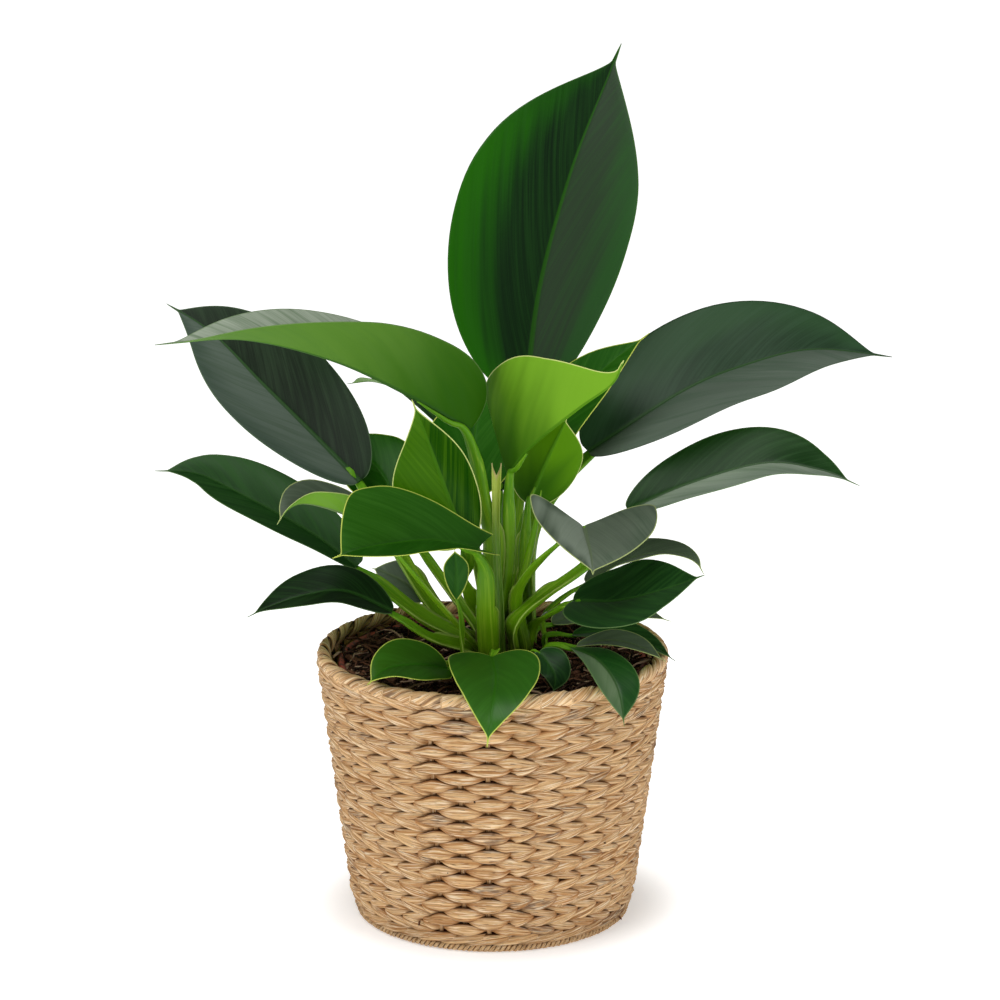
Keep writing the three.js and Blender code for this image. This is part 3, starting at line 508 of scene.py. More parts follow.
def strawSkin(nodes, look):
    along, across, number = nodes.attribute("fibre")
    tone, swell, level = nodes.attribute("strandTone")
    # Masks of painted shade: pinches behind the stakes, the ends of each lens, the strand's upper and lower
    # edges and the creases between rows
    pinchShade = 1.0 - nodes.step(swell, 0.04, 0.19)
    endShade = 1.0 - nodes.step(swell, 0.2, 0.85)
    edge = nodes.step(abs(level), 0.6, 1.0)
    creaseShade = nodes.step(abs(level), 0.84, 0.97)
    fine = nodes.noise(along * 0.05, across * 3.0, number, 3.0, 0.65)
    glints = nodes.noise(along * 0.07, across * 2.4, number + 31.0)
    broad = nodes.noise(along * 0.03, across * 0.8, number)
    dashes = nodes.noise(along * 0.16, across * 2.2, number + 4.0, 1.0, 0.4)
    patch = nodes.step(nodes.noise(along * 0.09, across * 0.5, number), 0.42, 0.6)
    brown = nodes.step(tone, 1.0 - look["brownShare"], 1.02 - look["brownShare"])
    colour = nodes.mix(nodes.step(broad, 0.34, 0.66), look["middle"], look["light"])
    for cover, name in (
            (nodes.step(fine, 0.5, 0.7) * 0.8, "deep"),
            ((tone * 0.35) * (1.0 - nodes.step(broad, 0.4, 0.8)), "deep"),
            (brown * patch * 0.75, "brown"),
            # painted highlight: pale glints, kept off the lens ends
            (nodes.step(glints, 0.52, 0.66) * (1.0 - endShade) * 0.7, "bright"),
            # painted shade: warmer and darker towards the ends of each lens
            (endShade * 0.6, "warmShade"),
            (nodes.step(dashes, 0.66, 0.74) * 0.7, "dash"),
            # painted shade along the strand's upper and lower edges
            (edge * 0.7, "deep"),
            # painted shadow, nearly black, in the creases between rows and the pinches behind the stakes
            (creaseShade * 0.75, "creviceShadow"),
            (pinchShade * 0.95, "creviceShadow")):
        colour = nodes.mix(cover, colour, look[name])
    return colour, 0.55 + 0.2 * fine, fine * 0.4 + broad * 0.6


def strawFinish(name, look):
    return finish(name, lambda nodes: strawSkin(nodes, look),
                  bump=look["bump"], bumpDepth=look["bumpDepth"], gloss=look["gloss"])


weaving, twisting = weaveTree(), twistTree()
wallFinish, rimFinish = strawFinish("strawStrands", straw), strawFinish("strawRim", rimStraw)
stakeFinish, footFinish = strawFinish("strawStakes", stakeStraw), strawFinish("strawFoot", footStraw)

wallPart, rimPart, footPart = (
    ("basket_wall", "basket_strand"), ("rim_braid", "basket_strand"), ("foot_braid", "basket_foot"))

for name, tree, sizes, material, part in (
        ("basket_weave", weaving, weave, wallFinish, wallPart),
        ("basket_weave_partner", weaving, {**weave, "Strand": 1}, wallFinish, wallPart),
        ("basket_stakes", stakeTree(), stakeSizes, stakeFinish, wallPart),
        ("foot_rope", weaving, footRow, wallFinish, footPart),
        ("foot_rope_partner", weaving, {**footRow, "Strand": 1}, wallFinish, footPart),
        ("rim_core", hoopTree(), rimCore, rimFinish, rimPart),
        ("rim_rope", twisting, rimTwist, rimFinish, rimPart),
        ("foot_coil", twisting, footCoil, footFinish, footPart)):
    handOver(grow(name, tree, sizes, material), *part)
    print("basket:", name, "made")


# Blades of the leaves: their grid, thickness, base lobes, tip, midrib and waves
bladeSizes = {
    "rows": 72, "smallRows": 44, "smallHalf": 27, "bunching": 0.13, "thickness": 0.75,
    "edgeThickness": 0.3, "edgeWidth": 2.5, "lobeReach": 1.5, "lobeRound": 0.3, "lobeRoundTo": 0.035,
    "tipLength": 0.1, "tipShare": 0.035, "leastShare": 0.004,
    "grooveDepth": 0.5, "ribDepth": 0.6, "ribWidth": 1.6, "wave": 0.9, "waves": 2.3,
    "columns": (0, 0.018, 0.04, 0.07, 0.12, 0.2, 0.3, 0.4, 0.5, 0.6, 0.7, 0.8, 0.88, 0.94, 0.975, 1),
}
# Short stem that carries the stalks, and the soil it stands in
crown = {"x": 3.0, "y": -2.0, "top": 182.0, "radius": 14.0, "root": 110.0, "seat": 166.0, "ring": 9.5,
         "lift": 9.0, "gap": 0.4}
soilSizes = {"top": 156.0, "mound": 4.0, "edge": 91.0, "foot": 10.0}
# A leaf: its root is ("side", degrees, height) or ("top", degrees, distance) on the crown, or
# ("soil", x, y), and its stalk's radius is given at foot and top. The blade lies along a smooth curve
# of points, half its greatest width to a side, and is widest at a share of its length. sides, fold
# and curl are for its left and right half: widths, then lift and bend in degrees, at base and tip.
# face and faceTip are the ways it looks. What a leaf doesn't give is as on the usual one.
usualLeaf = {"sides": (1, 1), "curl": (0, 0, 0, 0), "baseShare": 0.12, "rising": 0.65, "taper": 1.15,
             "lobeEase": 2.5, "veinSlope": 1.5, "spread": 1.2, "look": {}}
leafList = [
    {"name": "leaf_tall", "finish": "dark", "root": ("side", 78), "radius": (5, 4),
     "stalk": [(12, 30, 218)],
     "blade": [(21, 55, 318), (30, 72, 385), (50, 90, 456), (73, 108, 512), (81, 116, 531)],
     "half": 57, "widest": 0.46, "lobe": 8, "sides": (1.12, 0.93),
     "face": (-0.1, -1, 0.2), "faceTip": (-0.1, -1, 0.35),
     "fold": (8, 22, 4, 14), "curl": (8, 8, 4, 4), "veinSlope": 2.8,
     # The right half's grey-green is painted sheen
     "look": {"left": (12, 34, 14), "leftOut": (30, 96, 0), "right": (42, 58, 40),
              "rightOut": (40, 80, 36), "streak": (40, 92, 30), "streaks": 0.2, "edge": (70, 116, 40),
              "rib": (34, 88, 6), "outer": (0.4, 0.95), "tipFade": 0.8, "drift": 0.6}},
    {"name": "leaf_arch_left", "finish": "dark", "root": ("top", 224), "radius": (4.5, 4.5),
     "stalk": [(0, -14, 240), (-6, -16, 270)],
     "blade": [(-14, -24, 314), (-46, -40, 337), (-93, -62, 365), (-146, -84, 383), (-196, -104, 384)],
     "half": 44, "widest": 0.28, "lobe": 22, "taper": 1.1, "sides": (0.95, 0.85),
     "face": (0.1, 0.25, 1), "faceTip": (0, -0.1, 1),
     "fold": (70, 66, 12, 26), "curl": (20, 10, 6, 6), "spread": 1.6,
     # Pale grey on both halves is painted sheen; the bright underside is painted light through the leaf
     "look": {"left": (176, 188, 168), "right": (176, 188, 168), "base": (44, 94, 0),
              "under": (84, 126, 42), "gloss": 0.08}},
    {"name": "leaf_spout", "finish": "fresh", "root": ("top", 281), "radius": (4, 4),
     "stalk": [(10, -9, 229)],
     "blade": [(10, -16, 283), (24, -34, 306), (52, -60, 336), (71, -78, 355), (77, -92, 372)],
     "half": 56, "widest": 0.16, "lobe": 6, "taper": 1.4, "sides": (0.75, 1),
     "face": (0.05, 0.33, 1), "faceTip": (-0.2, 0.3, 1),
     "fold": (80, 78, 60, 50), "curl": (20, 16, 30, 20), "spread": 0.9,
     "look": {"gloss": 0.06}},
    {"name": "leaf_bright", "finish": "fresh", "root": ("top", 0, 0), "radius": (4, 3.5),
     "stalk": [(17, 1, 213)],
     "blade": [(22, 0, 262), (34, -3, 292), (46, -8, 319)],
     "half": 27, "widest": 0.45, "lobe": 8,
     "face": (0.2, 1, 0.2), "faceTip": (0.2, 1, 0.4),
     "fold": (35, 35, 25, 25), "curl": (15, 15, 10, 10),
     "look": {"under": (92, 148, 8), "base": (46, 96, 0), "gloss": 0.06}},
    {"name": "leaf_behind_right", "finish": "mid", "root": ("top", 48), "radius": (3.2, 3),
     "stalk": [(13, 17, 214)],
     "blade": [(23, 24, 258), (38, 28, 302), (65, 30, 336), (97, 31, 363)],
     "half": 25, "widest": 0.42, "lobe": 8,
     "face": (-0.4, -0.6, 0.7), "fold": (15, 25, 5, 5)},
    {"name": "leaf_big_right", "finish": "dark", "root": ("side", 32), "radius": (5.5, 5),
     "stalk": [(22, 12, 232), (34, 20, 260)],
     "blade": [(60, 36, 286), (118, 54, 320), (158, 64, 335), (201, 70, 344), (252, 72, 339)],
     "half": 46, "widest": 0.45, "lobe": 10, "sides": (1.05, 1),
     "face": (-0.35, -0.6, 0.8), "faceTip": (0, -0.55, 0.85),
     "fold": (14, 18, 8, 18), "curl": (10, 4, 8, 4), "spread": 1.7, "veinSlope": 1.4,
     # The grey-green right half is painted sheen
     "look": {"left": (38, 62, 40), "leftOut": (46, 78, 46), "right": (96, 110, 96),
              "rightOut": (108, 122, 108), "streak": (60, 90, 64), "streaks": 0.35,
              "edge": (60, 76, 52), "gloss": 0.16}},
    {"name": "leaf_low_right", "finish": "dark", "root": ("side", 302), "radius": (4, 3.5),
     "stalk": [(13, -26, 193), (32, -15, 208), (61, 0, 226)],
     "blade": [(84, 14, 254), (122, 14, 271), (168, 10, 285), (202, 4, 282), (226, -2, 274)],
     "half": 31, "widest": 0.5, "lobe": 4, "taper": 1.1, "sides": (0.88, 0.95),
     "face": (-0.2, -0.45, 0.9), "faceTip": (0.3, -0.4, 0.9),
     "fold": (22, 18, 18, 20), "curl": (6, 4, 6, 4), "spread": 1.6,
     # The pale grey right half is painted sheen
     "look": {"left": (10, 52, 4), "leftOut": (26, 62, 20), "right": (166, 178, 162),
              "rightOut": (146, 160, 144), "streak": (60, 100, 54), "streaks": 0.3, "gloss": 0.16}},
    {"name": "leaf_far_left", "finish": "dark", "root": ("side", 152), "radius": (4.5, 4),
     "stalk": [(-39, 26, 191)],
     "blade": [(-84, 52, 263), (-114, 72, 289), (-147, 90, 318), (-179, 106, 347), (-209, 118, 364)],
     "half": 40, "widest": 0.46, "lobe": 8, "taper": 1, "sides": (0.9, 1),
     "face": (0.2, -0.8, 0.6), "faceTip": (0, -0.75, 0.7),
     "fold": (18, 12, 14, 8), "curl": (4, 4, 4, 4), "spread": 1.3,
     # The grey-green left half is painted sheen
     "look": {"left": (98, 112, 100), "leftOut": (76, 92, 80), "right": (10, 28, 8),
              "rightOut": (18, 40, 16), "streak": (52, 76, 48), "streaks": 0.3, "edge": (96, 124, 84),
              "gloss": 0.1, "outer": (0.3, 1)}},
    {"name": "leaf_low_left", "finish": "dark", "root": ("side", 180), "radius": (4.3, 4),
     "stalk": [(-43, 8, 187), (-70, 18, 206)],
     "blade": [(-85, 24, 215), (-115, 34, 235), (-166, 44, 261), (-188, 46, 270), (-212, 44, 272)],
     "half": 30, "widest": 0.5, "lobe": 3, "taper": 1.05, "sides": (0.85, 0.9), "baseShare": 0.2,
     "face": (0.3, -0.55, 0.75), "faceTip": (0, -0.5, 0.85), "fold": (28, 14, 20, 12), "spread": 1.6,
     "look": {"left": (22, 60, 18), "right": (40, 72, 36), "rightOut": (60, 90, 56)}},
    {"name": "leaf_small_curl", "finish": "grey", "root": ("side", 227), "radius": (3, 2.5),
     "stalk": [(-32, -24, 204), (-61, -34, 243)],
     "blade": [(-73, -38, 255), (-90, -44, 267), (-111, -54, 276), (-122, -62, 275), (-129, -66, 266)],
     "half": 18, "widest": 0.5, "lobe": 4,
     "face": (0.2, 0.1, 1), "faceTip": (-0.4, -0.2, 0.9),
     "fold": (55, 60, 20, 30), "curl": (10, 10, 10, 10)},
    {"name": "leaf_heart", "finish": "mid", "root": ("side", 254, 164), "radius": (5.5, 5),
     "stalk": [(-4, -34, 204), (-4, -38, 228)],
     "blade": [(-8, -41, 244), (-34, -66, 256), (-56, -90, 261), (-77, -112, 263), (-93, -124, 261)],
     "half": 37, "widest": 0.68, "lobe": 60, "taper": 0.9, "sides": (0.8, 1), "baseShare": 0.3,
     "rising": 1.25, "lobeEase": 14,
     "face": (-0.1, -0.2, 1), "fold": (-4, 56, 4, 46), "curl": (8, 16, 4, 10), "spread": 1.15,
     "look": {"gloss": 0.16, "left": (24, 76, 6), "right": (36, 88, 10)}},
    {"name": "leaf_fresh", "finish": "fresh", "root": ("top", 164), "radius": (4, 4),
     "stalk": [(-14, -9, 207)],
     "blade": [(-16, -24, 243), (-25, -30, 269), (-36, -38, 303), (-43, -46, 325), (-48, -50, 339)],
     "half": 30, "widest": 0.4, "lobe": 6, "taper": 1.35, "sides": (1.13, 0.7),
     "face": (-0.1, -0.9, 0.4), "faceTip": (0, -0.8, 0.6),
     "fold": (14, 26, 8, 14), "curl": (10, 10, 6, 6), "spread": 1.3, "veinSlope": 2.6,
     "look": {"left": (58, 108, 0), "right": (18, 68, 0), "gloss": 0.06}},
    {"name": "leaf_grey_heart", "finish": "grey", "root": ("side", 330), "radius": (4, 3.5),
     "stalk": [(15, -16, 206), (24, -27, 228), (40, -41, 248)],
     "blade": [(55, -46, 260), (57, -62, 255), (59, -76, 249), (60, -88, 241)],
     "half": 42, "widest": 0.24, "lobe": 18, "sides": (1.08, 0.92),
     "face": (0, -0.35, 0.9), "faceTip": (0.1, -0.6, 0.6), "fold": (9, 36, 8, 22), "spread": 1.3,
     # The grey halves are painted sheen, paler on the right
     "look": {"left": (88, 100, 84), "right": (132, 144, 128), "gloss": 0.2, "rightOut": (70, 84, 68),
              "leftOut": (74, 90, 72), "outer": (0.5, 1.05)}},
    {"name": "leaf_green_right", "finish": "dark", "root": ("side", 357), "radius": (3.8, 3.2),
     "stalk": [(28, -11, 190)],
     "blade": [(49, -36, 210), (76, -54, 215), (106, -68, 227), (127, -78, 238)],
     "half": 29, "widest": 0.4, "lobe": 10,
     "face": (0.1, -0.5, 0.8), "fold": (10, 12, 5, 5)},
    {"name": "leaf_back_right", "finish": "grey", "root": ("soil", 33, 24), "radius": (2.6, 2.4),
     "stalk": [(33, 24, 185)],
     "blade": [(58, 24, 205), (83, 20, 220), (107, 14, 227), (124, 4, 226), (131, -4, 218)],
     "half": 17, "widest": 0.4, "lobe": 4,
     "face": (0.2, -0.2, 1), "fold": (20, 20, 10, 10)},
    {"name": "leaf_back_low", "finish": "grey", "root": ("soil", 26, 38), "radius": (2.4, 2),
     "stalk": [(29, 42, 170)],
     "blade": [(38, 46, 172), (62, 54, 177), (91, 58, 176), (114, 60, 169)],
     "half": 13, "widest": 0.4, "lobe": 4,
     "face": (0.1, -0.4, 1), "fold": (15, 15, 10, 10)},
    {"name": "leaf_rim_right_1", "finish": "dark", "root": ("soil", 34, -4), "radius": (2.2, 2),
     "stalk": [(33, 0, 177)],
     "blade": [(50, 0, 178), (74, -8, 182), (96, -16, 177), (113, -24, 168)],
     "half": 12, "widest": 0.45, "lobe": 2,
     "face": (0.1, -0.3, 1), "faceTip": (0.4, -0.3, 0.8), "fold": (15, 15, 10, 10)},
    {"name": "leaf_rim_right_2", "finish": "grey", "root": ("soil", 30, -16), "radius": (2.2, 2),
     "stalk": [(34, -20, 177)],
     "blade": [(52, -24, 178), (73, -34, 184), (91, -42, 182), (106, -48, 175)],
     "half": 11, "widest": 0.45, "lobe": 2,
     "face": (0.1, -0.3, 1), "faceTip": (0.4, -0.3, 0.8), "fold": (15, 15, 10, 10)},
    {"name": "leaf_droop_right", "finish": "dark", "root": ("soil", 27, -29), "radius": (2.4, 2.2),
     "stalk": [(34, -36, 181)],
     "blade": [(48, -46, 183), (64, -70, 182), (75, -92, 172), (79, -106, 152)],
     "half": 20, "widest": 0.6, "lobe": 4, "sides": (0.74, 0.72), "baseShare": 0.05, "rising": 1.1,
     "face": (0.3, -0.5, 0.8), "faceTip": (0.4, -0.9, 0.2), "fold": (18, 14, 14, 10),
     # The grey-green right half is painted sheen
     "look": {"left": (22, 66, 20), "right": (106, 128, 94), "rightOut": (84, 108, 74),
              "streaks": 0.3, "gloss": 0.2}},
    {"name": "leaf_front_heart", "finish": "mid", "root": ("soil", -3, -34), "radius": (2.6, 2.4),
     "stalk": [(2, -44, 181)],
     "blade": [(0, -54, 180), (2, -84, 177), (1, -108, 172), (-1, -121, 161), (-3, -125, 145)],
     "half": 28, "widest": 0.36, "lobe": 12, "taper": 1.35, "sides": (0.98, 1.05),
     "face": (0, -0.6, 0.8), "faceTip": (0, -1, 0.25),
     "fold": (10, 14, 12, 12), "curl": (4, 4, 4, 4),
     "look": {"gloss": 0.2, "left": (44, 94, 22), "right": (46, 94, 20)}},
    {"name": "leaf_front_left", "finish": "mid", "root": ("soil", -28, -31), "radius": (2.4, 2.2),
     "stalk": [(-20, -43, 174)],
     "blade": [(-27, -54, 172), (-45, -68, 179), (-63, -80, 180), (-75, -90, 173)],
     "half": 19, "widest": 0.45, "lobe": 5,
     "face": (-0.1, -0.5, 0.8), "faceTip": (-0.3, -0.5, 0.7), "fold": (10, 20, 8, 16),
     "look": {"left": (44, 88, 12), "right": (50, 94, 16), "gloss": 0.16}},
    {"name": "leaf_left_low", "finish": "dark", "root": ("side", 205, 163), "radius": (3.2, 3),
     "stalk": [(-39, -14, 181)],
     "blade": [(-62, -8, 195), (-91, -8, 208), (-116, -10, 206), (-137, -14, 200), (-151, -20, 195)],
     "half": 24, "widest": 0.45, "lobe": 3, "sides": (0.75, 0.82),
     "face": (0, -0.45, 0.85), "faceTip": (-0.4, -0.4, 0.8), "fold": (20, 12, 16, 10), "spread": 1.4,
     "look": {"left": (10, 30, 8), "right": (16, 38, 14), "streaks": 0.3}},
    {"name": "leaf_small_dark", "finish": "dark", "root": ("soil", 16, -40), "radius": (2, 1.8),
     "stalk": [(23, -48, 181)],
     "blade": [(28, -54, 183), (34, -61, 178), (38, -66, 171), (37, -69, 161)],
     "half": 12, "widest": 0.4, "lobe": 3, "sides": (1, 0.8),
     "face": (0.2, -0.6, 0.7), "faceTip": (0.2, -0.9, 0.2), "fold": (10, 20, 8, 12)},
    {"name": "leaf_back_mid", "finish": "mid", "root": ("side", 127), "radius": (3, 2.8),
     "stalk": [(-27, 38, 196)],
     "blade": [(-58, 62, 235), (-69, 80, 258), (-84, 96, 271), (-100, 112, 279)],
     "half": 26, "widest": 0.45, "lobe": 3,
     "face": (0.2, -0.8, 0.6), "fold": (12, 12, 8, 8)},
    {"name": "leaf_back_thin", "finish": "dark", "root": ("side", 106), "radius": (3, 2.6),
     "stalk": [(-14, 40, 234)],
     "blade": [(-30, 64, 293), (-52, 84, 311), (-75, 104, 316), (-94, 120, 311)],
     "half": 18, "widest": 0.45, "lobe": 2,
     "face": (0, 0.2, 1), "fold": (20, 20, 10, 10)},
    {"name": "leaf_back_centre", "finish": "mid", "root": ("top", 100), "radius": (3.4, 3),
     "stalk": [(2, 26, 219)],
     "blade": [(-8, 34, 259), (-12, 42, 279), (-10, 50, 303), (-5, 56, 324)],
     "half": 30, "widest": 0.45, "lobe": 4,
     "face": (0, -0.9, 0.4), "fold": (12, 12, 8, 8)},
    {"name": "leaf_back_straight", "finish": "dark", "root": ("soil", 2, 38), "radius": (3.4, 3),
     "stalk": [(3, 44, 214)],
     "blade": [(5, 58, 256), (7, 88, 271), (10, 120, 272), (14, 148, 260)],
     "half": 24, "widest": 0.45, "lobe": 6,
     "face": (0, -0.4, 1), "faceTip": (0, 0.5, 1), "fold": (14, 14, 8, 8)},
    {"name": "leaf_back_left", "finish": "grey", "root": ("soil", -22, 20), "radius": (2.2, 2),
     "stalk": [(-27, 26, 180)],
     "blade": [(-43, 36, 190), (-55, 44, 199), (-68, 50, 204), (-77, 54, 206)],
     "half": 13, "widest": 0.45, "lobe": 3,
     "face": (0, -0.8, 0.6), "fold": (12, 12, 8, 8)},
    {"name": "leaf_small_oval", "finish": "mid", "root": ("soil", -18, -27), "radius": (2, 2),
     "stalk": [(-19, -28, 196)],
     "blade": [(-22, -29, 209), (-22, -29, 226), (-23, -29, 241)],
     "half": 8, "widest": 0.6, "lobe": 2, "rising": 1,
     "face": (0, -1, 0.3), "fold": (12, 12, 8, 8)},
]


def unit(vectors):
    vectors = np.asarray(vectors, float)
    return vectors / np.linalg.norm(vectors, axis=-1, keepdims=True)


# Unit vectors square to a path's directions, as near as can be to the given ones
def squareTo(ahead, vectors):
    return unit(vectors - np.sum(vectors * ahead, axis=1, keepdims=True) * ahead)


# Grids of numbers as one list of vectors
def vectorList(*grids):
    return np.stack(np.broadcast_arrays(*grids), axis=-1).reshape(-1, 3)


# Rows of points beside a path, from their distances sideways and upwards
def besidePath(path, side, x, up, y):
    return path[:, None] + x[..., None] * side[:, None] + y[..., None] * up[:, None]


# Points that lie between known ones
def between(at, known, points):
    return np.stack([np.interp(at, known, points[:, i]) for i in range(3)], axis=-1)


# Points and directions on a smooth curve through the given points, at shares of its length
def smoothCurve(points, shares):
    points = np.asarray(points, float)
    padded = np.vstack([2 * points[0] - points[1], points, 2 * points[-1] - points[-2]])
    t = np.linspace(0, 1, 40, endpoint=False)[:, None]
    dense = []
    for k in range(len(points) - 1):
        a, b, c, d = padded[k:k + 4]
        dense.append(b + 0.5 * ((c - a) * t + (2 * a - 5 * b + 4 * c - d) * t ** 2
                                + (3 * b - a - 3 * c + d) * t ** 3))
    dense = np.vstack([*dense, points[-1:]])
    lengths = np.concatenate([[0], np.cumsum(np.linalg.norm(np.diff(dense, axis=0), axis=1))])

    def placed(at):
        return between(np.clip(at, 0, 1) * lengths[-1], lengths, dense)

    return placed(shares), unit(placed(shares + 0.004) - placed(shares - 0.004)), lengths[-1]


# Half width along the blade: rounded at the base, widest once, drawn out to a narrow tip
def widthShare(u, leaf):
    base, widest, tip = leaf["baseShare"], leaf["widest"], bladeSizes["tipLength"]
    rising = base + (1 - base) * np.sin(np.pi / 2 * np.clip(u / widest, 0, 1)) ** leaf["rising"]
    past = np.clip((u - widest) / (1 - widest - 0.5 * tip), 0, 1)
    falling = np.cos(np.pi / 2 * past ** 1.25) ** leaf["taper"]
    point = bladeSizes["tipShare"] * np.clip((1 - u) / tip, 0, 1.6) ** 0.7
    return np.where(u < widest, rising, (falling ** 3 + point ** 3) ** (1 / 3))


# Thin blade with a groove along the top of its midrib and a ridge below
def bladeMesh(leaf, number):
    size, half = bladeSizes, leaf["half"]
    count = size["rows"] if half >= size["smallHalf"] else size["smallRows"]
    t = np.linspace(0, 1, count)
    u = t - size["bunching"] * np.sin(2 * np.pi * t)
    down = u[:, None]
    centre, ahead, length = smoothCurve(leaf["blade"], u)
    up = squareTo(ahead, unit(leaf["face"]) * (1 - down) + unit(leaf["faceTip"]) * down)
    across = np.cross(ahead, up)
    share = np.maximum(widthShare(u, leaf), size["leastShare"])
    steepness = 1 / np.hypot(1, np.gradient(share * half, u * length))
    s = np.array(size["columns"])
    fold, curl = leaf["fold"], leaf["curl"]
    halves, ribs, edges = [], [], []
    for side, sign in ((0, -1), (1, 1)):
        wide = (half * share * leaf["sides"][side])[:, None]
        first = np.radians(fold[side] + (fold[2 + side] - fold[side]) * down)
        bend = np.radians(curl[side] + (curl[2 + side] - curl[side]) * down) + 1e-4
        out = wide * (np.sin(first + bend * s) - np.sin(first)) / bend
        rise = wide * (np.cos(first) - np.cos(first + bend * s)) / bend
        edge = s * share[:, None] * leaf["sides"][side]
        back = size["lobeReach"] * leaf["lobe"] * (1 - down) ** leaf["lobeEase"] * edge ** 1.3
        back = back * (1 - size["lobeRound"] * np.exp(-down / size["lobeRoundTo"]))
        waving = size["wave"] * half / 50 * edge ** 2
        rise = rise + waving * np.sin(2 * np.pi * size["waves"] * down + 2.4 * number + 1.9 * side)
        halves.append(besidePath(centre, across, sign * out, up, rise) - back[..., None] * ahead[:, None])
        ribs.append(wide * s)
        edges.append(wide * (1 - s) * steepness[:, None])
    surface, rib, edge = (np.concatenate([left[:, :0:-1], right], axis=1)
                          for left, right in (halves, ribs, edges))
    sign = np.concatenate([-np.ones(len(s) - 1), np.sign(s)])
    normal = unit(np.cross(np.gradient(surface, axis=1), np.gradient(surface, axis=0)))

    fading = np.sqrt(1 - 0.9 * down)
    thin = np.clip(edge / size["edgeWidth"], 0, 1)
    thin = size["edgeThickness"] + (size["thickness"] - size["edgeThickness"]) * thin
    groove = np.exp(-(rib / (size["ribWidth"] * fading)) ** 2) * fading
    upper = surface + normal * (thin / 2 - size["grooveDepth"] * groove)[..., None]
    under = surface - normal * (thin / 2 + size["ribDepth"] * groove)[..., None]

    along = down * length
    vein = along - leaf["veinSlope"] * rib * (1 + 0.3 * rib / half)
    place = vectorList(vein, rib * sign, along)
    form = vectorList(edge, 1.0, down)                # the middle number is 1 on top and 0 below
    columns = surface.shape[1]
    total, last, end = count * columns, columns - 1, (count - 1) * columns
    grid = quadsBetween(count, columns, closed=False)
    faces = grid + turnedOver(grid, total)
    for a in range(0, end, columns):
        b = a + columns
        faces.append((a + last, total + a + last, total + b + last, b + last))
        faces.append((total + a, a, b, total + b))
    for j in range(last):
        faces.append((total + j, total + j + 1, j + 1, j))
        faces.append((end + j, end + j + 1, total + end + j + 1, total + end + j))
    points = np.concatenate([upper.reshape(-1, 3), under.reshape(-1, 3)])
    place, form = np.concatenate([place, place]), np.concatenate([form, form * (1, 0, 1)])
    return points, faces, place, form, (centre, up, u)


stalkSizes = {"steps": 46, "sides": 20, "groove": 1.15, "grooveInBlade": 0.3, "flatness": 0.82,
              "wing": 0.38, "wingEnd": 0.42, "wingAt": 0.35, "wingWidth": 0.22, "inBlade": (0.08, 0.19),
              "sunk": 0.95, "sunkBefore": 0.12, "sunkOver": 0.14, "lean": 1.2}


# First two points of a stalk, and the way it leaves the crown
def stalkSeat(leaf):
    kind, *where = leaf["root"]
    if kind == "soil":
        foot = np.array([*where, soilSizes["top"] - soilSizes["foot"]], float)
        return [foot, foot + (0, 0, soilSizes["foot"] + crown["lift"])]
    turn = math.radians(where[0])
    away = np.array([math.cos(turn), math.sin(turn), 0])
    if kind == "side":
        height = where[1] if len(where) > 1 else crown["seat"]
        reach, lean = crown["radius"] + leaf["radius"][0] + crown["gap"], stalkSizes["lean"]
    else:
        height = crown["top"] + 0.3
        reach, lean = (where[1] if len(where) > 1 else crown["ring"]), 0
    foot = np.array([crown["x"], crown["y"], height]) + away * reach
    return [foot, foot + (0, 0, crown["lift"]) + away * lean]


# Channelled stalk with a thin-edged sheath at its foot, which runs on as the blade's midrib
def stalkMesh(leaf, centre, up, u):
    size, start = stalkSizes, stalkSeat(leaf)
    inBlade = between(size["inBlade"], u, centre)
    points = np.array([*start, *leaf["stalk"], leaf["blade"][0], *inBlade], float)
    steps, sides = size["steps"], size["sides"]
    t = np.linspace(0, 1, steps)
    path, ahead, length = smoothCurve(points, t)
    foot, top = leaf["radius"]
    radius = np.interp(t, np.linspace(0, 1, 6), (foot, (foot + top) / 2, top, top, top * 0.62, 0.7))
    spread = np.interp(t, (0, 0.1, 0.55, 0.9), (1, leaf["spread"], 1 + leaf["spread"] * 0.2, 1))
    spans = np.linalg.norm(np.diff(points, axis=0), axis=1)
    joint = spans[:-2].sum() / spans.sum()          # share of the length where the blade starts
    inside = np.array([*(start[0] - leaf["blade"][0])[:2], 0]) + (0, 0, 0.01)
    weight = np.clip(t / joint, 0, 1)[:, None] ** 1.5
    upThere = between(size["inBlade"][1] * np.clip((t - joint) / (1 - joint), 0, 1), u, up)
    facing = squareTo(ahead, unit(inside) * (1 - weight) + upThere * weight)
    side = np.cross(ahead, facing)
    sunk = np.clip((t - joint + size["sunkBefore"]) / size["sunkOver"], 0, 1)
    path = path - facing * (radius * size["sunk"] * sunk)[:, None]

    turn = np.arange(sides) / sides * 2 * np.pi
    hollow = size["groove"] * (1 - sunk[:, None]) + size["grooveInBlade"] * sunk[:, None]
    end = size["wingEnd"]
    wing = size["wing"] * np.clip((end - t) / 0.03, 0, 1) * (0.5 + 0.5 * np.clip(t / end, 0, 1))
    level = np.abs(np.sin(turn)) * np.sign(np.sin(turn))
    wing = wing[:, None] * np.exp(-((level - size["wingAt"]) / size["wingWidth"]) ** 2)
    flat = np.where(np.sin(turn) > 0, 1 - hollow * (1 - np.cos(turn) ** 2), 1.0) * size["flatness"]
    x = np.cos(turn) * (radius * spread)[:, None] * (1 + wing)
    y = np.sin(turn) * radius[:, None] * flat + radius[:, None] * wing * 0.9
    corners = besidePath(path, side, x, facing, y).reshape(-1, 3)
    rim = np.abs(np.abs(turn - np.pi / 2) - 1.2) * radius[:, None]
    place = vectorList((t * length)[:, None], x, y)
    form = vectorList(rim, t[:, None] / joint, (np.sin(turn) > 0) * 1.0)
    return corners, turnedOver(tubeFaces(steps, sides)), place, form
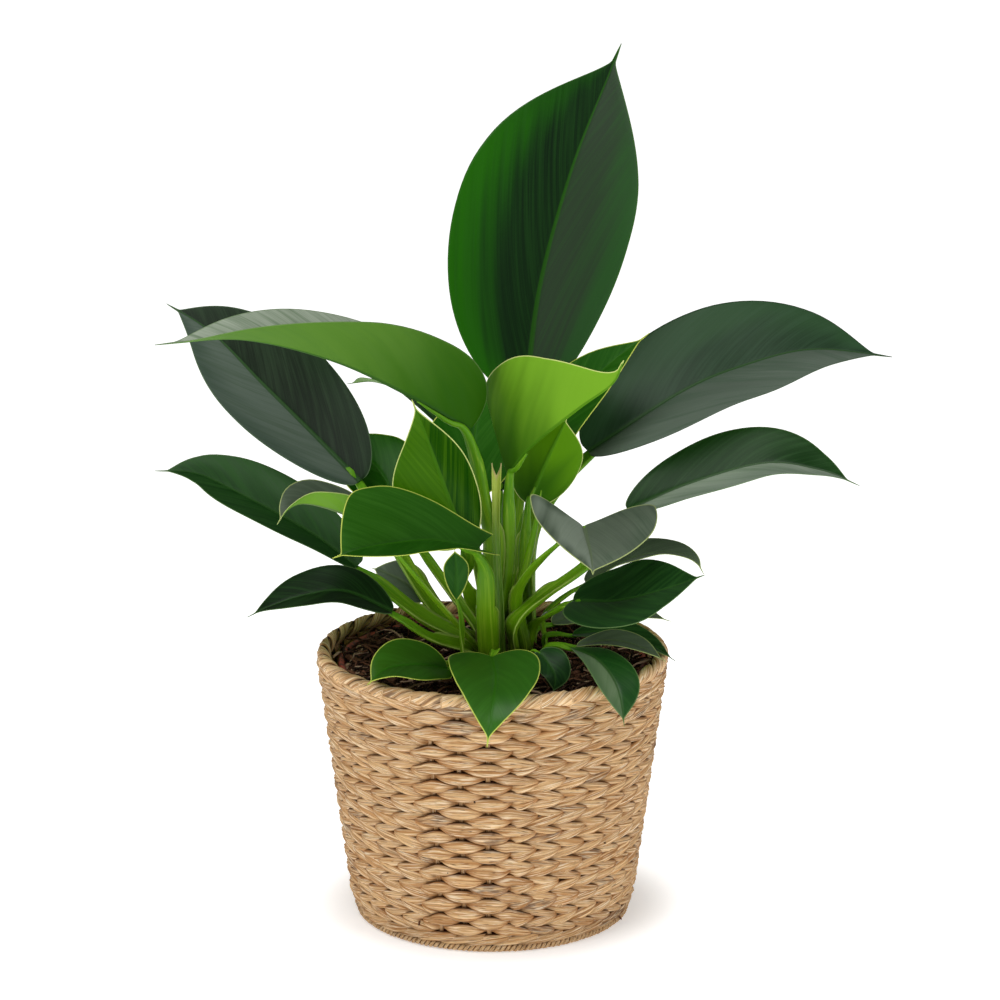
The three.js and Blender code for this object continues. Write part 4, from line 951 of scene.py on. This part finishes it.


# Leaf skins: waxy green with fine streaks along the veins, partly painted sheen, a thin pale edge, a pale
# midrib and an underside painted bright as if lit through the leaf. The halves go from left and right at
# the midrib to leftOut and rightOut at the edge; grey-green in them is painted sheen.
usualLook = {"outer": (0.15, 0.85), "drift": 1.4, "tipFade": 0.0, "gloss": 0.12}
leafLooks = {
    "dark": {"left": (18, 52, 18), "right": (28, 58, 28), "streak": (50, 94, 40), "streaks": 0.5,
             "under": (104, 150, 56), "base": (52, 94, 8), "edge": (110, 140, 84), "pale": 0.6,
             "rib": (44, 84, 30)},
    "mid": {"left": (26, 84, 4), "right": (32, 90, 6), "streak": (62, 118, 34), "streaks": 0.4,
            "under": (98, 150, 36), "base": (50, 96, 6), "edge": (210, 224, 100), "pale": 0.9,
            "rib": (46, 104, 12)},
    "fresh": {"left": (62, 116, 4), "right": (26, 84, 0), "streak": (96, 148, 20), "streaks": 0.3,
              "under": (120, 172, 40), "base": (48, 96, 0), "edge": (218, 230, 140), "pale": 0.95,
              "rib": (70, 124, 16)},
    # grey: an upper face painted grey-green all over, a painted sheen
    "grey": {"left": (84, 98, 80), "right": (84, 98, 80), "streak": (112, 126, 106), "streaks": 0.4,
             "under": (110, 160, 44), "base": (70, 116, 20), "edge": (190, 204, 130), "pale": 0.8,
             "rib": (96, 112, 80)},
}


def leafSkin(nodes, look, number):
    vein, across = nodes.attribute("bladePlace")[:2]
    edge, upper, share = nodes.attribute("bladeForm")
    rib = abs(across)
    shift = number * 7.3
    fine = nodes.noise(vein * 0.8, across * 0.03, shift, 3.0, 0.6)
    streaks = nodes.noise(vein * 0.15, across * 0.035, shift + 9.0, 3.0, 0.55)
    cloud = nodes.noise(vein * 0.035, across * 0.02, shift + 21.0)
    outer = nodes.step(rib / (rib + edge + 0.01) + (cloud - 0.5) * look["drift"], *look["outer"])
    outer = outer * (1.0 - nodes.step(share, 0.55, 0.95) * look["tipFade"])
    streak = paint(*look["streak"])
    halves = [nodes.mix(outer, paint(*look[half]), paint(*look[half + "Out"]))
              for half in ("left", "right")]
    colour = nodes.mix(nodes.step(across, -1.5, 1.5), *halves)
    # Pale streaks along the veins, partly their own colour and partly painted sheen; a little of them on
    # the underside too
    lit = nodes.step(streaks * 0.7 + fine * 0.15 + cloud * 0.15, 0.42, 0.66) * look["streaks"]
    colour = nodes.mix(lit, colour, streak)
    colour = nodes.mix(nodes.step(fine, 0.35, 0.7) * 0.15, colour, streak)
    # Underside: painted brighter than the top, as if lit through the leaf, darker towards the stalk and
    # brighter further out
    outwards = nodes.step(share + (cloud - 0.5) * 0.5, 0.05, 0.6)
    below = nodes.mix(outwards, paint(*look["base"]), paint(*look["under"]))
    below = nodes.mix(lit * 0.25, below, streak)
    colour = nodes.mix(upper, below, colour)
    ribWidth = 0.5 + 2.0 * (1.0 - share)
    colour = nodes.mix((1.0 - nodes.step(rib, ribWidth * 0.5, ribWidth)) * 0.7, colour, paint(*look["rib"]))
    pale = 1.0 - nodes.step(edge, 0.25, 0.75)
    colour = nodes.mix(pale * look["pale"], colour, paint(*look["edge"]))
    return colour, nodes.blend(upper, 0.5, 0.3) + 0.12 * fine, fine * 0.35 + streaks * 0.65


# Stalks: yellow-green, olive and shaded at the foot, with pale thin rims along their channel and pale
# yellow streaks, partly their own striping and partly painted highlight
stalkLook = {"foot": paint(60, 78, 8), "low": paint(104, 154, 12), "high": paint(90, 150, 20),
             "streak": paint(180, 214, 64), "rim": paint(214, 232, 130), "gloss": 0.16}


def stalkSkin(nodes):
    along, x, y = nodes.attribute("bladePlace")
    rim, share, inside = nodes.attribute("bladeForm")
    streaks = nodes.noise(along * 0.02, x * 1.1, y * 1.1, 3.0, 0.6)
    colour = nodes.mix(nodes.step(share, 0.4, 1.0), stalkLook["low"], stalkLook["high"])
    colour = nodes.mix(1.0 - nodes.step(share, 0.02, 0.22), colour, stalkLook["foot"])
    # pale yellow streaks, partly the stalk's own striping and partly painted highlight
    colour = nodes.mix(nodes.step(streaks, 0.45, 0.8) * 0.55, colour, stalkLook["streak"])
    pale = (1.0 - nodes.step(rim, 0.3, 1.1)) * (1.0 - nodes.step(share, 0.5, 0.65)) * inside
    colour = nodes.mix(pale * 0.5, colour, stalkLook["rim"])
    return colour, 0.34 + 0.1 * streaks, streaks


stalkFinish = finish("stalkGreen", stalkSkin, bump=0.2, bumpDepth=0.0005, gloss=stalkLook["gloss"])

for number, leaf in enumerate(leafList):
    leaf = {**usualLeaf, "faceTip": leaf["face"], **leaf}
    points, faces, place, form, (centre, up, u) = bladeMesh(leaf, number)
    stalkPoints, stalkFaces, stalkPlace, stalkForm = stalkMesh(leaf, centre, up, u)
    indices = [0] * len(faces) + [1] * len(stalkFaces)
    faces = faces + [tuple(len(points) + k for k in face) for face in stalkFaces]
    look = {**usualLook, **leafLooks[leaf["finish"]], **leaf["look"]}
    look = {"leftOut": look["left"], "rightOut": look["right"], **look}
    skin = finish(leaf["name"] + "_skin", lambda nodes: leafSkin(nodes, look, number),
                  bump=0.12, bumpDepth=0.0006, gloss=look["gloss"])
    piece = meshPiece(leaf["name"] + "_blade", np.concatenate([points, stalkPoints]), faces,
                      [skin, stalkFinish], indices,
                      {"bladePlace": np.concatenate([place, stalkPlace]),
                       "bladeForm": np.concatenate([form, stalkForm])})
    handOver(piece, leaf["name"], "leaf_" + leaf["finish"])
print("leaves grown:", len(leafList))


# Closed tube through points, with a radius at each given share
def tubeMesh(points, radii, steps, sides):
    t = np.linspace(0, 1, steps)
    path, ahead, length = smoothCurve(points, t)
    radius = np.interp(t, np.linspace(0, 1, len(radii)), radii)[:, None]
    side = unit(np.cross(ahead, (0.0, -1.0, 0.001)))
    turn = np.arange(sides) / sides * 2 * np.pi
    x, y = np.cos(turn) * radius, np.sin(turn) * radius
    corners = besidePath(path, side, x, np.cross(side, ahead), y)
    place = vectorList((t * length)[:, None], x, y)
    form = vectorList(5.0, t[:, None], np.ones(x.shape))
    return corners.reshape(-1, 3), tubeFaces(steps, sides), {"bladePlace": place, "bladeForm": form}


# Young leaf still rolled up, with the seam of its rolled edge winding round it
spearSizes = {"points": [(11.3, -6.6, 182.3), (12, -7, 192), (19, -9, 217), (26, -10, 248), (30, -10, 273)],
              "radii": (2.6, 2.8, 2.5, 1.7, 0.4), "steps": 40, "sides": 24, "overlap": 0.5, "winding": 0.05}


def addSpear():
    size = spearSizes
    points, faces, attributes = tubeMesh(size["points"], size["radii"], size["steps"], size["sides"])
    along, x, y = attributes["bladePlace"].T
    seam = (np.arctan2(y, x) - along * size["winding"]) % (2 * np.pi)
    lift = size["overlap"] * np.clip(1 - seam / 1.2, 0, 1)
    centre = between(along, along[::size["sides"]], points.reshape(-1, size["sides"], 3).mean(axis=1))
    points = points + (points - centre) * (lift / np.maximum(np.hypot(x, y), 0.4))[:, None]
    handOver(meshPiece("spear_leaf", points, faces, [stalkFinish], None, attributes), "spear", "stalk")


# Old sheath beside the crown: a dry trough, torn to two points at the top
sheathSizes = {
    "points": [(5.6, -18.7, 166), (5.4, -20.5, 178), (4.4, -23, 205), (2.3, -21.3, 250), (2.6, -21.3, 293)],
    "radii": (2.5, 2.6, 2.4, 2.4, 3.1), "steps": 44, "sides": 20, "wall": 0.7, "depth": 0.8, "notch": 9.0,
    "low": paint(92, 140, 20), "high": paint(186, 204, 78), "torn": paint(204, 186, 128),
    "streak": paint(196, 216, 110),
}


def sheathSkin(nodes):
    along, x, y = nodes.attribute("bladePlace")
    streaks = nodes.noise(along * 0.03, x * 1.6, y * 1.6, 3.0, 0.6)
    colour = nodes.mix(nodes.step(along, 70.0, 122.0), sheathSizes["low"], sheathSizes["high"])
    colour = nodes.mix(nodes.step(along, 120.0, 127.0), colour, sheathSizes["torn"])
    colour = nodes.mix(nodes.step(streaks, 0.45, 0.7) * 0.4, colour, sheathSizes["streak"])
    return colour, 0.45 + 0.15 * streaks, streaks


def addSheath():
    size, steps, sides = sheathSizes, sheathSizes["steps"], sheathSizes["sides"]
    t = np.linspace(0, 1, steps)
    path, ahead, length = smoothCurve(size["points"], t)
    radius = np.interp(t, np.linspace(0, 1, len(size["radii"])), size["radii"])[:, None]
    side = unit(np.cross(ahead, (0.0, 1.0, 0.001)))
    out = np.cross(side, ahead)
    spread = np.linspace(-0.1, math.pi + 0.1, sides) - math.pi / 2    # open towards the stalks
    dip = size["notch"] * (1 - np.abs(spread / spread[0]) ** 0.8) * np.clip(t * 6 - 5, 0, 1)[:, None]
    layers, places = [], []
    for depth in (0.0, size["wall"]):
        x, y = np.sin(spread) * (radius - depth), np.cos(spread) * (radius - depth) * size["depth"]
        layer = besidePath(path, side, x, out, y) - dip[..., None] * ahead[:, None]
        layers.append(layer.reshape(-1, 3))
        places.append(vectorList((t * length)[:, None], x, y))
    total = steps * sides
    outer = quadsBetween(steps, sides, closed=False)
    corners = np.arange(total).reshape(steps, sides)
    ring = [*corners[0], *corners[1:, -1], *corners[-1, -2::-1], *corners[-2:0:-1, 0]]
    rim = [(b, a, total + a, total + b) for a, b in zip(ring, ring[1:] + ring[:1])]
    piece = meshPiece("sheath_dry", np.concatenate(layers), outer + turnedOver(outer, total) + rim,
                      [finish("drySheath", sheathSkin, bump=0.3, bumpDepth=0.0006)], None,
                      {"bladePlace": np.concatenate(places)})
    handOver(piece, "sheath_stub", "sheath")


# Piece turned from a profile of radii and heights; shift may move its corners before it is made
def turnedPiece(name, profile, segments, material, slotName, node, shift=None, centre=(0, 0)):
    profile = np.array(profile, float)
    turn = np.arange(segments) / segments * 2 * np.pi
    radius, height = (np.broadcast_to(column[:, None], (len(profile), segments)) for column in profile.T)
    if shift:
        height = shift(radius, height, turn)
    corners = vectorList(centre[0] + radius * np.cos(turn), centre[1] + radius * np.sin(turn), height)
    piece = meshPiece(name, corners, tubeFaces(len(profile), segments), [material])
    handOver(piece, node, slotName)
    return piece


# Crown: a short ringed stem with the brown scars of fallen leaves
crownLook = {"rings": 7, "ringDepth": 0.6, "levels": 40, "segments": 40, "skin": paint(70, 84, 22),
             "scar": paint(96, 74, 40)}


def crownSkin(nodes):
    x, y, z = nodes.place()
    rough = nodes.noise(x * 400.0, y * 400.0, z * 900.0, 3.0, 0.6)
    colour = nodes.mix(nodes.step(rough, 0.4, 0.65), crownLook["skin"], crownLook["scar"])
    return colour, 0.6 + 0.2 * rough, rough


def addCrown():
    levels = np.linspace(0, 1, crownLook["levels"])
    bulge = crown["radius"] - crownLook["ringDepth"] * np.cos(levels * crownLook["rings"] * 2 * np.pi) ** 2
    bulge = bulge * np.clip(0.55 + levels * 4, 0, 1)
    heights = crown["root"] + levels * (crown["top"] - crown["root"] - 1)
    profile = [*zip(bulge, heights), (crown["radius"] - 2, crown["top"]), (1.0, crown["top"])]
    bark = finish("crownBark", crownSkin, bump=0.5, bumpDepth=0.001)
    turnedPiece("crown_stem", profile, crownLook["segments"], bark, "stalk", "crown",
                centre=(crown["x"], crown["y"]))


# Floor of the basket, coiled from the middle outwards
basketFloor = {"rings": 12, "radius": 81.6, "bottom": 0.9, "top": 5.0, "swell": 0.8, "segments": 72}


def floorSkin(nodes):
    x, y = nodes.place()[:2]
    away = (x * x + y * y) ** 0.5 * 1000.0
    strands = nodes.noise(away * 1.2, y.math("ARCTAN2", x) * 3.0, 2.0, 3.0, 0.6)
    colour = nodes.mix(nodes.step(strands, 0.4, 0.62), straw["middle"], straw["deep"])
    return colour, 0.6 + 0.2 * strands, strands


def addBasketFloor():
    size = basketFloor
    out = np.linspace(0.5, size["radius"], size["rings"] * 6 + 1)
    ripple = size["swell"] * (1 - np.abs(np.sin(np.pi * out / out[-1] * size["rings"])))
    profile = [*zip(out, size["bottom"] + ripple), *zip(out[::-1], size["top"] - ripple[::-1])]
    turnedPiece("basket_floor", profile, size["segments"],
                finish("strawFloor", floorSkin, bump=0.4, bumpDepth=0.0006), "basket_strand", "basket_wall")


# Nursery pot of thin plastic with a rolled lip
potSizes = {"foot": 78.0, "top": 96.0, "bottom": 5.4, "height": 163.0, "wall": 1.5, "lip": 8.0, "step": 2.0,
            "segments": 96, "plastic": paint(168, 72, 52), "dust": paint(70, 46, 36)}


def potSkin(nodes):
    x, y, z = nodes.place()
    dust = nodes.noise(x * 160.0, y * 160.0, z * 220.0, 4.0, 0.6)
    colour = nodes.mix(nodes.step(dust, 0.46, 0.58) * 0.85, potSizes["plastic"], potSizes["dust"])
    return colour, 0.45 + 0.25 * dust, dust


def addPot():
    size = potSizes
    foot, top, bottom, height, wall = (size[key] for key in ("foot", "top", "bottom", "height", "wall"))
    lip, below = height - size["lip"], top - size["step"]
    profile = [(0.5, bottom), (foot - 2, bottom), (foot, bottom + 2),
               (below - 0.4, lip - 0.6), (top - 0.4, lip), (top, lip + 1),
               (top, height - 1.0), (top - 0.5, height - 0.2), (top - 1.4, height - 0.1),
               (below - wall, height - 1.2), (below - wall - 0.4, lip),
               (foot - wall, bottom + wall), (0.5, bottom + wall)]
    turnedPiece("nursery_pot_shell", profile, size["segments"],
                finish("potPlastic", potSkin, bump=0.15, bumpDepth=0.0005), "nursery_pot", "nursery_pot")


# Bark soil: a lumpy bed under loose chips and fibres
soilLook = {"rings": 46, "segments": 120, "lump": 1.6, "bank": 5.0, "bottom": 7.5,
            "deep": paint(34, 20, 14), "crumb": paint(96, 58, 40), "grain": paint(140, 92, 64)}
chipSizes = {"Density": 32000.0, "Smallest": 0.6, "Largest": 1.5, "Seed": 11}
fibreSizes = {"Density": 24000.0, "Smallest": 0.7, "Largest": 1.7, "Seed": 23}
looseBark = {
    "chip": (4.2, 2.2, 1.2), "fibre": ((-9, 0, 0), (0, 5, 4), (9, 1, 0)), "fibreRadius": 0.45,
    "sunkChips": 0.45, "sunkFibres": 0.35, "tilt": 0.7, "bend": 5.0, "bendScale": 160.0, "lowest": 4.0,
    "dark": paint(40, 26, 20), "brown": paint(128, 84, 62), "pale": paint(190, 158, 132),
    "fleck": paint(158, 124, 102), "gloss": 0.12,
}


def soilSkin(nodes):
    x, y, z = nodes.place()
    coarse = nodes.noise(x * 260.0, y * 260.0, z * 260.0, 4.0, 0.65)
    fine = nodes.noise(x * 1200.0, y * 900.0, z * 1000.0)
    colour = nodes.mix(nodes.step(coarse, 0.42, 0.68), soilLook["deep"], soilLook["crumb"])
    colour = nodes.mix(nodes.step(fine, 0.6, 0.8) * 0.5, colour, soilLook["grain"])
    return colour, 0.75 + 0.2 * fine, coarse + fine * 0.3


def fibreSkin(nodes):
    tone = nodes.attribute("pieceTone")[0]
    x, y, z = nodes.place()
    fine = nodes.noise(x * 900.0, y * 900.0, z * 900.0, 3.0, 0.6)
    colour = nodes.mix(nodes.step(tone, 0.25, 0.95), looseBark["dark"], looseBark["brown"])
    colour = nodes.mix(nodes.step(tone, 0.86, 0.94), colour, looseBark["pale"])
    colour = nodes.mix(nodes.step(fine, 0.5, 0.8) * 0.5, colour, looseBark["fleck"])
    return colour, 0.6 + 0.25 * fine, fine


# Scatters one small shape over the bed, each copy turned and sized at random
def scatterTree(name, sizes, makeShape, sunk):
    nodes, given = geometryTree(name, sizes)
    ground = nodes.tree.interface.new_socket("Geometry", in_out="INPUT", socket_type="NodeSocketGeometry")
    nodes.tree.interface.move(ground, 0)
    bed, seed, tilt = given["Material"].other("Geometry"), given["Seed"], looseBark["tilt"]
    height = nodes.split(nodes.add("GeometryNodeInputPosition"))[2]
    points = nodes.add("GeometryNodeDistributePointsOnFaces", values={
        "Mesh": bed, "Selection": height > (soilSizes["top"] - looseBark["lowest"]) * mm,
        "Density": given["Density"], "Seed": seed})
    turned = nodes.add("FunctionNodeRandomValue", {"data_type": "FLOAT_VECTOR"}, {
        "Min": (-tilt, -tilt, -math.pi), "Max": (tilt, tilt, math.pi), "Seed": seed + 1.0})
    scale = nodes.add("FunctionNodeRandomValue", {"data_type": "FLOAT"}, {
        2: given["Smallest"], 3: given["Largest"], "Seed": seed + 2.0}, 1)
    spread = nodes.add("GeometryNodeInstanceOnPoints", values={
        "Points": points, "Instance": makeShape(nodes), "Rotation": turned, "Scale": scale})
    tone = nodes.add("FunctionNodeRandomValue", {"data_type": "FLOAT_VECTOR"}, {"Seed": seed + 3.0})
    spread = store(nodes, spread, "pieceTone", tone, "FLOAT_VECTOR", "INSTANCE")
    real = nodes.add("GeometryNodeRealizeInstances", values={"Geometry": spread})
    wander = nodes.add("ShaderNodeTexNoise", values={"Scale": looseBark["bendScale"], "Detail": 1.0})
    wander = nodes.add("ShaderNodeVectorMath", {"operation": "SUBTRACT"}, {
        0: wander.other("Color"), 1: (0.5, 0.5, sunk)})
    wander = nodes.add("ShaderNodeVectorMath", {"operation": "SCALE"}, {
        0: wander, "Scale": looseBark["bend"] * mm})
    bent = nodes.add("GeometryNodeSetPosition", values={"Geometry": real, "Offset": wander})
    return endTree(nodes, given, bent)


def chipShape(nodes):
    chip = nodes.add("GeometryNodeMeshIcoSphere", values={"Radius": 1.0, "Subdivisions": 1})
    scale = tuple(length * mm for length in looseBark["chip"])
    return nodes.add("GeometryNodeTransform", values={"Geometry": chip, "Scale": scale})


def fibreShape(nodes):
    start, middle, end = (tuple(length * mm for length in point) for point in looseBark["fibre"])
    line = nodes.add("GeometryNodeCurveQuadraticBezier", values={
        "Resolution": 6, "Start": start, "Middle": middle, "End": end})
    ring = nodes.add("GeometryNodeCurvePrimitiveCircle", {"mode": "RADIUS"}, {
        "Resolution": 4, "Radius": looseBark["fibreRadius"] * mm})
    return nodes.add("GeometryNodeCurveToMesh", values={
        "Curve": line, "Profile Curve": ring, "Fill Caps": True})


def addSoil():
    look, top, edge = soilLook, soilSizes["top"], soilSizes["edge"]
    flat = potSizes["foot"] - potSizes["wall"] - 1
    profile = [(0.5, look["bottom"]), (flat, look["bottom"])]
    profile += [(radius, top) for radius in np.linspace(edge, 0.5, look["rings"])]

    # Lumps, a mound round the crown and a bank along the pot's lip; the two lowest rings stay flat
    def lumps(radius, height, turn):
        share = radius / edge
        x, y = radius * np.cos(turn), radius * np.sin(turn)
        rough = (np.sin(x * 0.35 + 1.3 * np.sin(y * 0.21)) + np.sin(y * 0.41 + 1.7 * np.sin(x * 0.17))
                 + 0.6 * np.sin(x * 0.93 + y * 0.77) + 0.5 * np.sin(x * 0.61 - y * 1.13))
        bank = np.clip((share - 0.78) / 0.2, 0, 1) ** 2 * (0.8 + 0.3 * np.sin(turn * 5 + 1))
        grown = height + soilSizes["mound"] * (1 - share ** 2) + look["lump"] * rough * 0.5
        return np.where(np.arange(len(profile))[:, None] < 2, height, grown + look["bank"] * bank)

    earth = finish("barkSoil", soilSkin, bump=0.8, bumpDepth=0.002, gloss=looseBark["gloss"])
    bark = finish("barkFibres", fibreSkin, bump=0.6, bumpDepth=0.0008, gloss=looseBark["gloss"])
    bed = turnedPiece("soil_bed", profile, look["segments"], earth, "bark_soil", "soil", lumps)
    for name, sizes, shape, sunk in (("soil_chips", chipSizes, chipShape, looseBark["sunkChips"]),
                                     ("soil_fibres", fibreSizes, fibreShape, looseBark["sunkFibres"])):
        tree = scatterTree(name, sizes, shape, sunk)
        handOver(grow(name, tree, sizes, bark, bed.data.copy()), "soil", "bark_soil")


addSpear()
addSheath()
addCrown()
addBasketFloor()
addPot()
addSoil()
print("pot, soil and crown filled in")


# Pale floor and soft studio light; the floor glows a little more away from the plant, so its dimmer glow
# near the basket is a painted contact shadow
studio = {"floor": paint(230, 230, 230), "floorHalf": 40000.0, "shadowGlow": paint(172, 172, 172),
          "farGlow": paint(252, 252, 252), "shadowFadeFrom": 85.0, "shadowFadeTo": 140.0, "world": 0.15,
          "aim": (0.0, 0.0, 0.25)}
softboxes = {
    "softboxTop": {"place": (-0.6, -0.9, 2.2), "width": 1.6, "power": 24},
    "softboxRight": {"place": (1.5, -1.2, 1.0), "width": 1.0, "power": 8},
    "softboxLeft": {"place": (-1.6, -1.4, 0.8), "width": 1.0, "power": 5},
}


def addFloor():
    paper, nodes = newMaterial("floorPaper")
    x, y = nodes.place()[:2]
    # Painted contact shadow: the glow is dimmer near the basket's foot and rises to full further out
    far = nodes.step((x * x + y * y) ** 0.5, studio["shadowFadeFrom"] * mm, studio["shadowFadeTo"] * mm)
    glow = nodes.mix(far, studio["shadowGlow"], studio["farGlow"])
    skin = nodes.add("ShaderNodeBsdfPrincipled", values={
        "Base Color": studio["floor"], "Roughness": 0.9, "Specular IOR Level": 0.1,
        "Emission Color": glow, "Emission Strength": 1.0})
    nodes.add("ShaderNodeOutputMaterial", values={"Surface": skin})
    half = studio["floorHalf"]
    corners = [(-half, -half, 0), (half, -half, 0), (half, half, 0), (-half, half, 0)]
    meshPiece("floor", corners, [(0, 1, 2, 3)], [paper])


def addWorld():
    world = bpy.data.worlds.new("studio")
    world.use_nodes = True
    background = world.node_tree.nodes["Background"]
    background.inputs["Color"].default_value = (1.0, 1.0, 1.0, 1.0)
    background.inputs["Strength"].default_value = studio["world"]
    bpy.context.scene.world = world


def addSoftbox(name, box):
    data = bpy.data.lights.new(name, "AREA")
    data.shape = "DISK"
    data.size = box["width"]
    data.energy = box["power"]
    lamp = addObject(name, data)
    lamp.location = box["place"]
    x, y, z = np.array(studio["aim"]) - np.array(box["place"])
    lamp.rotation_euler = (math.acos(-z / math.hypot(x, y, z)), 0, math.atan2(y, x) - math.pi / 2)


addFloor()
addWorld()
for name, box in softboxes.items():
    addSoftbox(name, box)
bpy.context.scene.view_settings.view_transform = "Standard"    # colours as painted
print("studio lit")
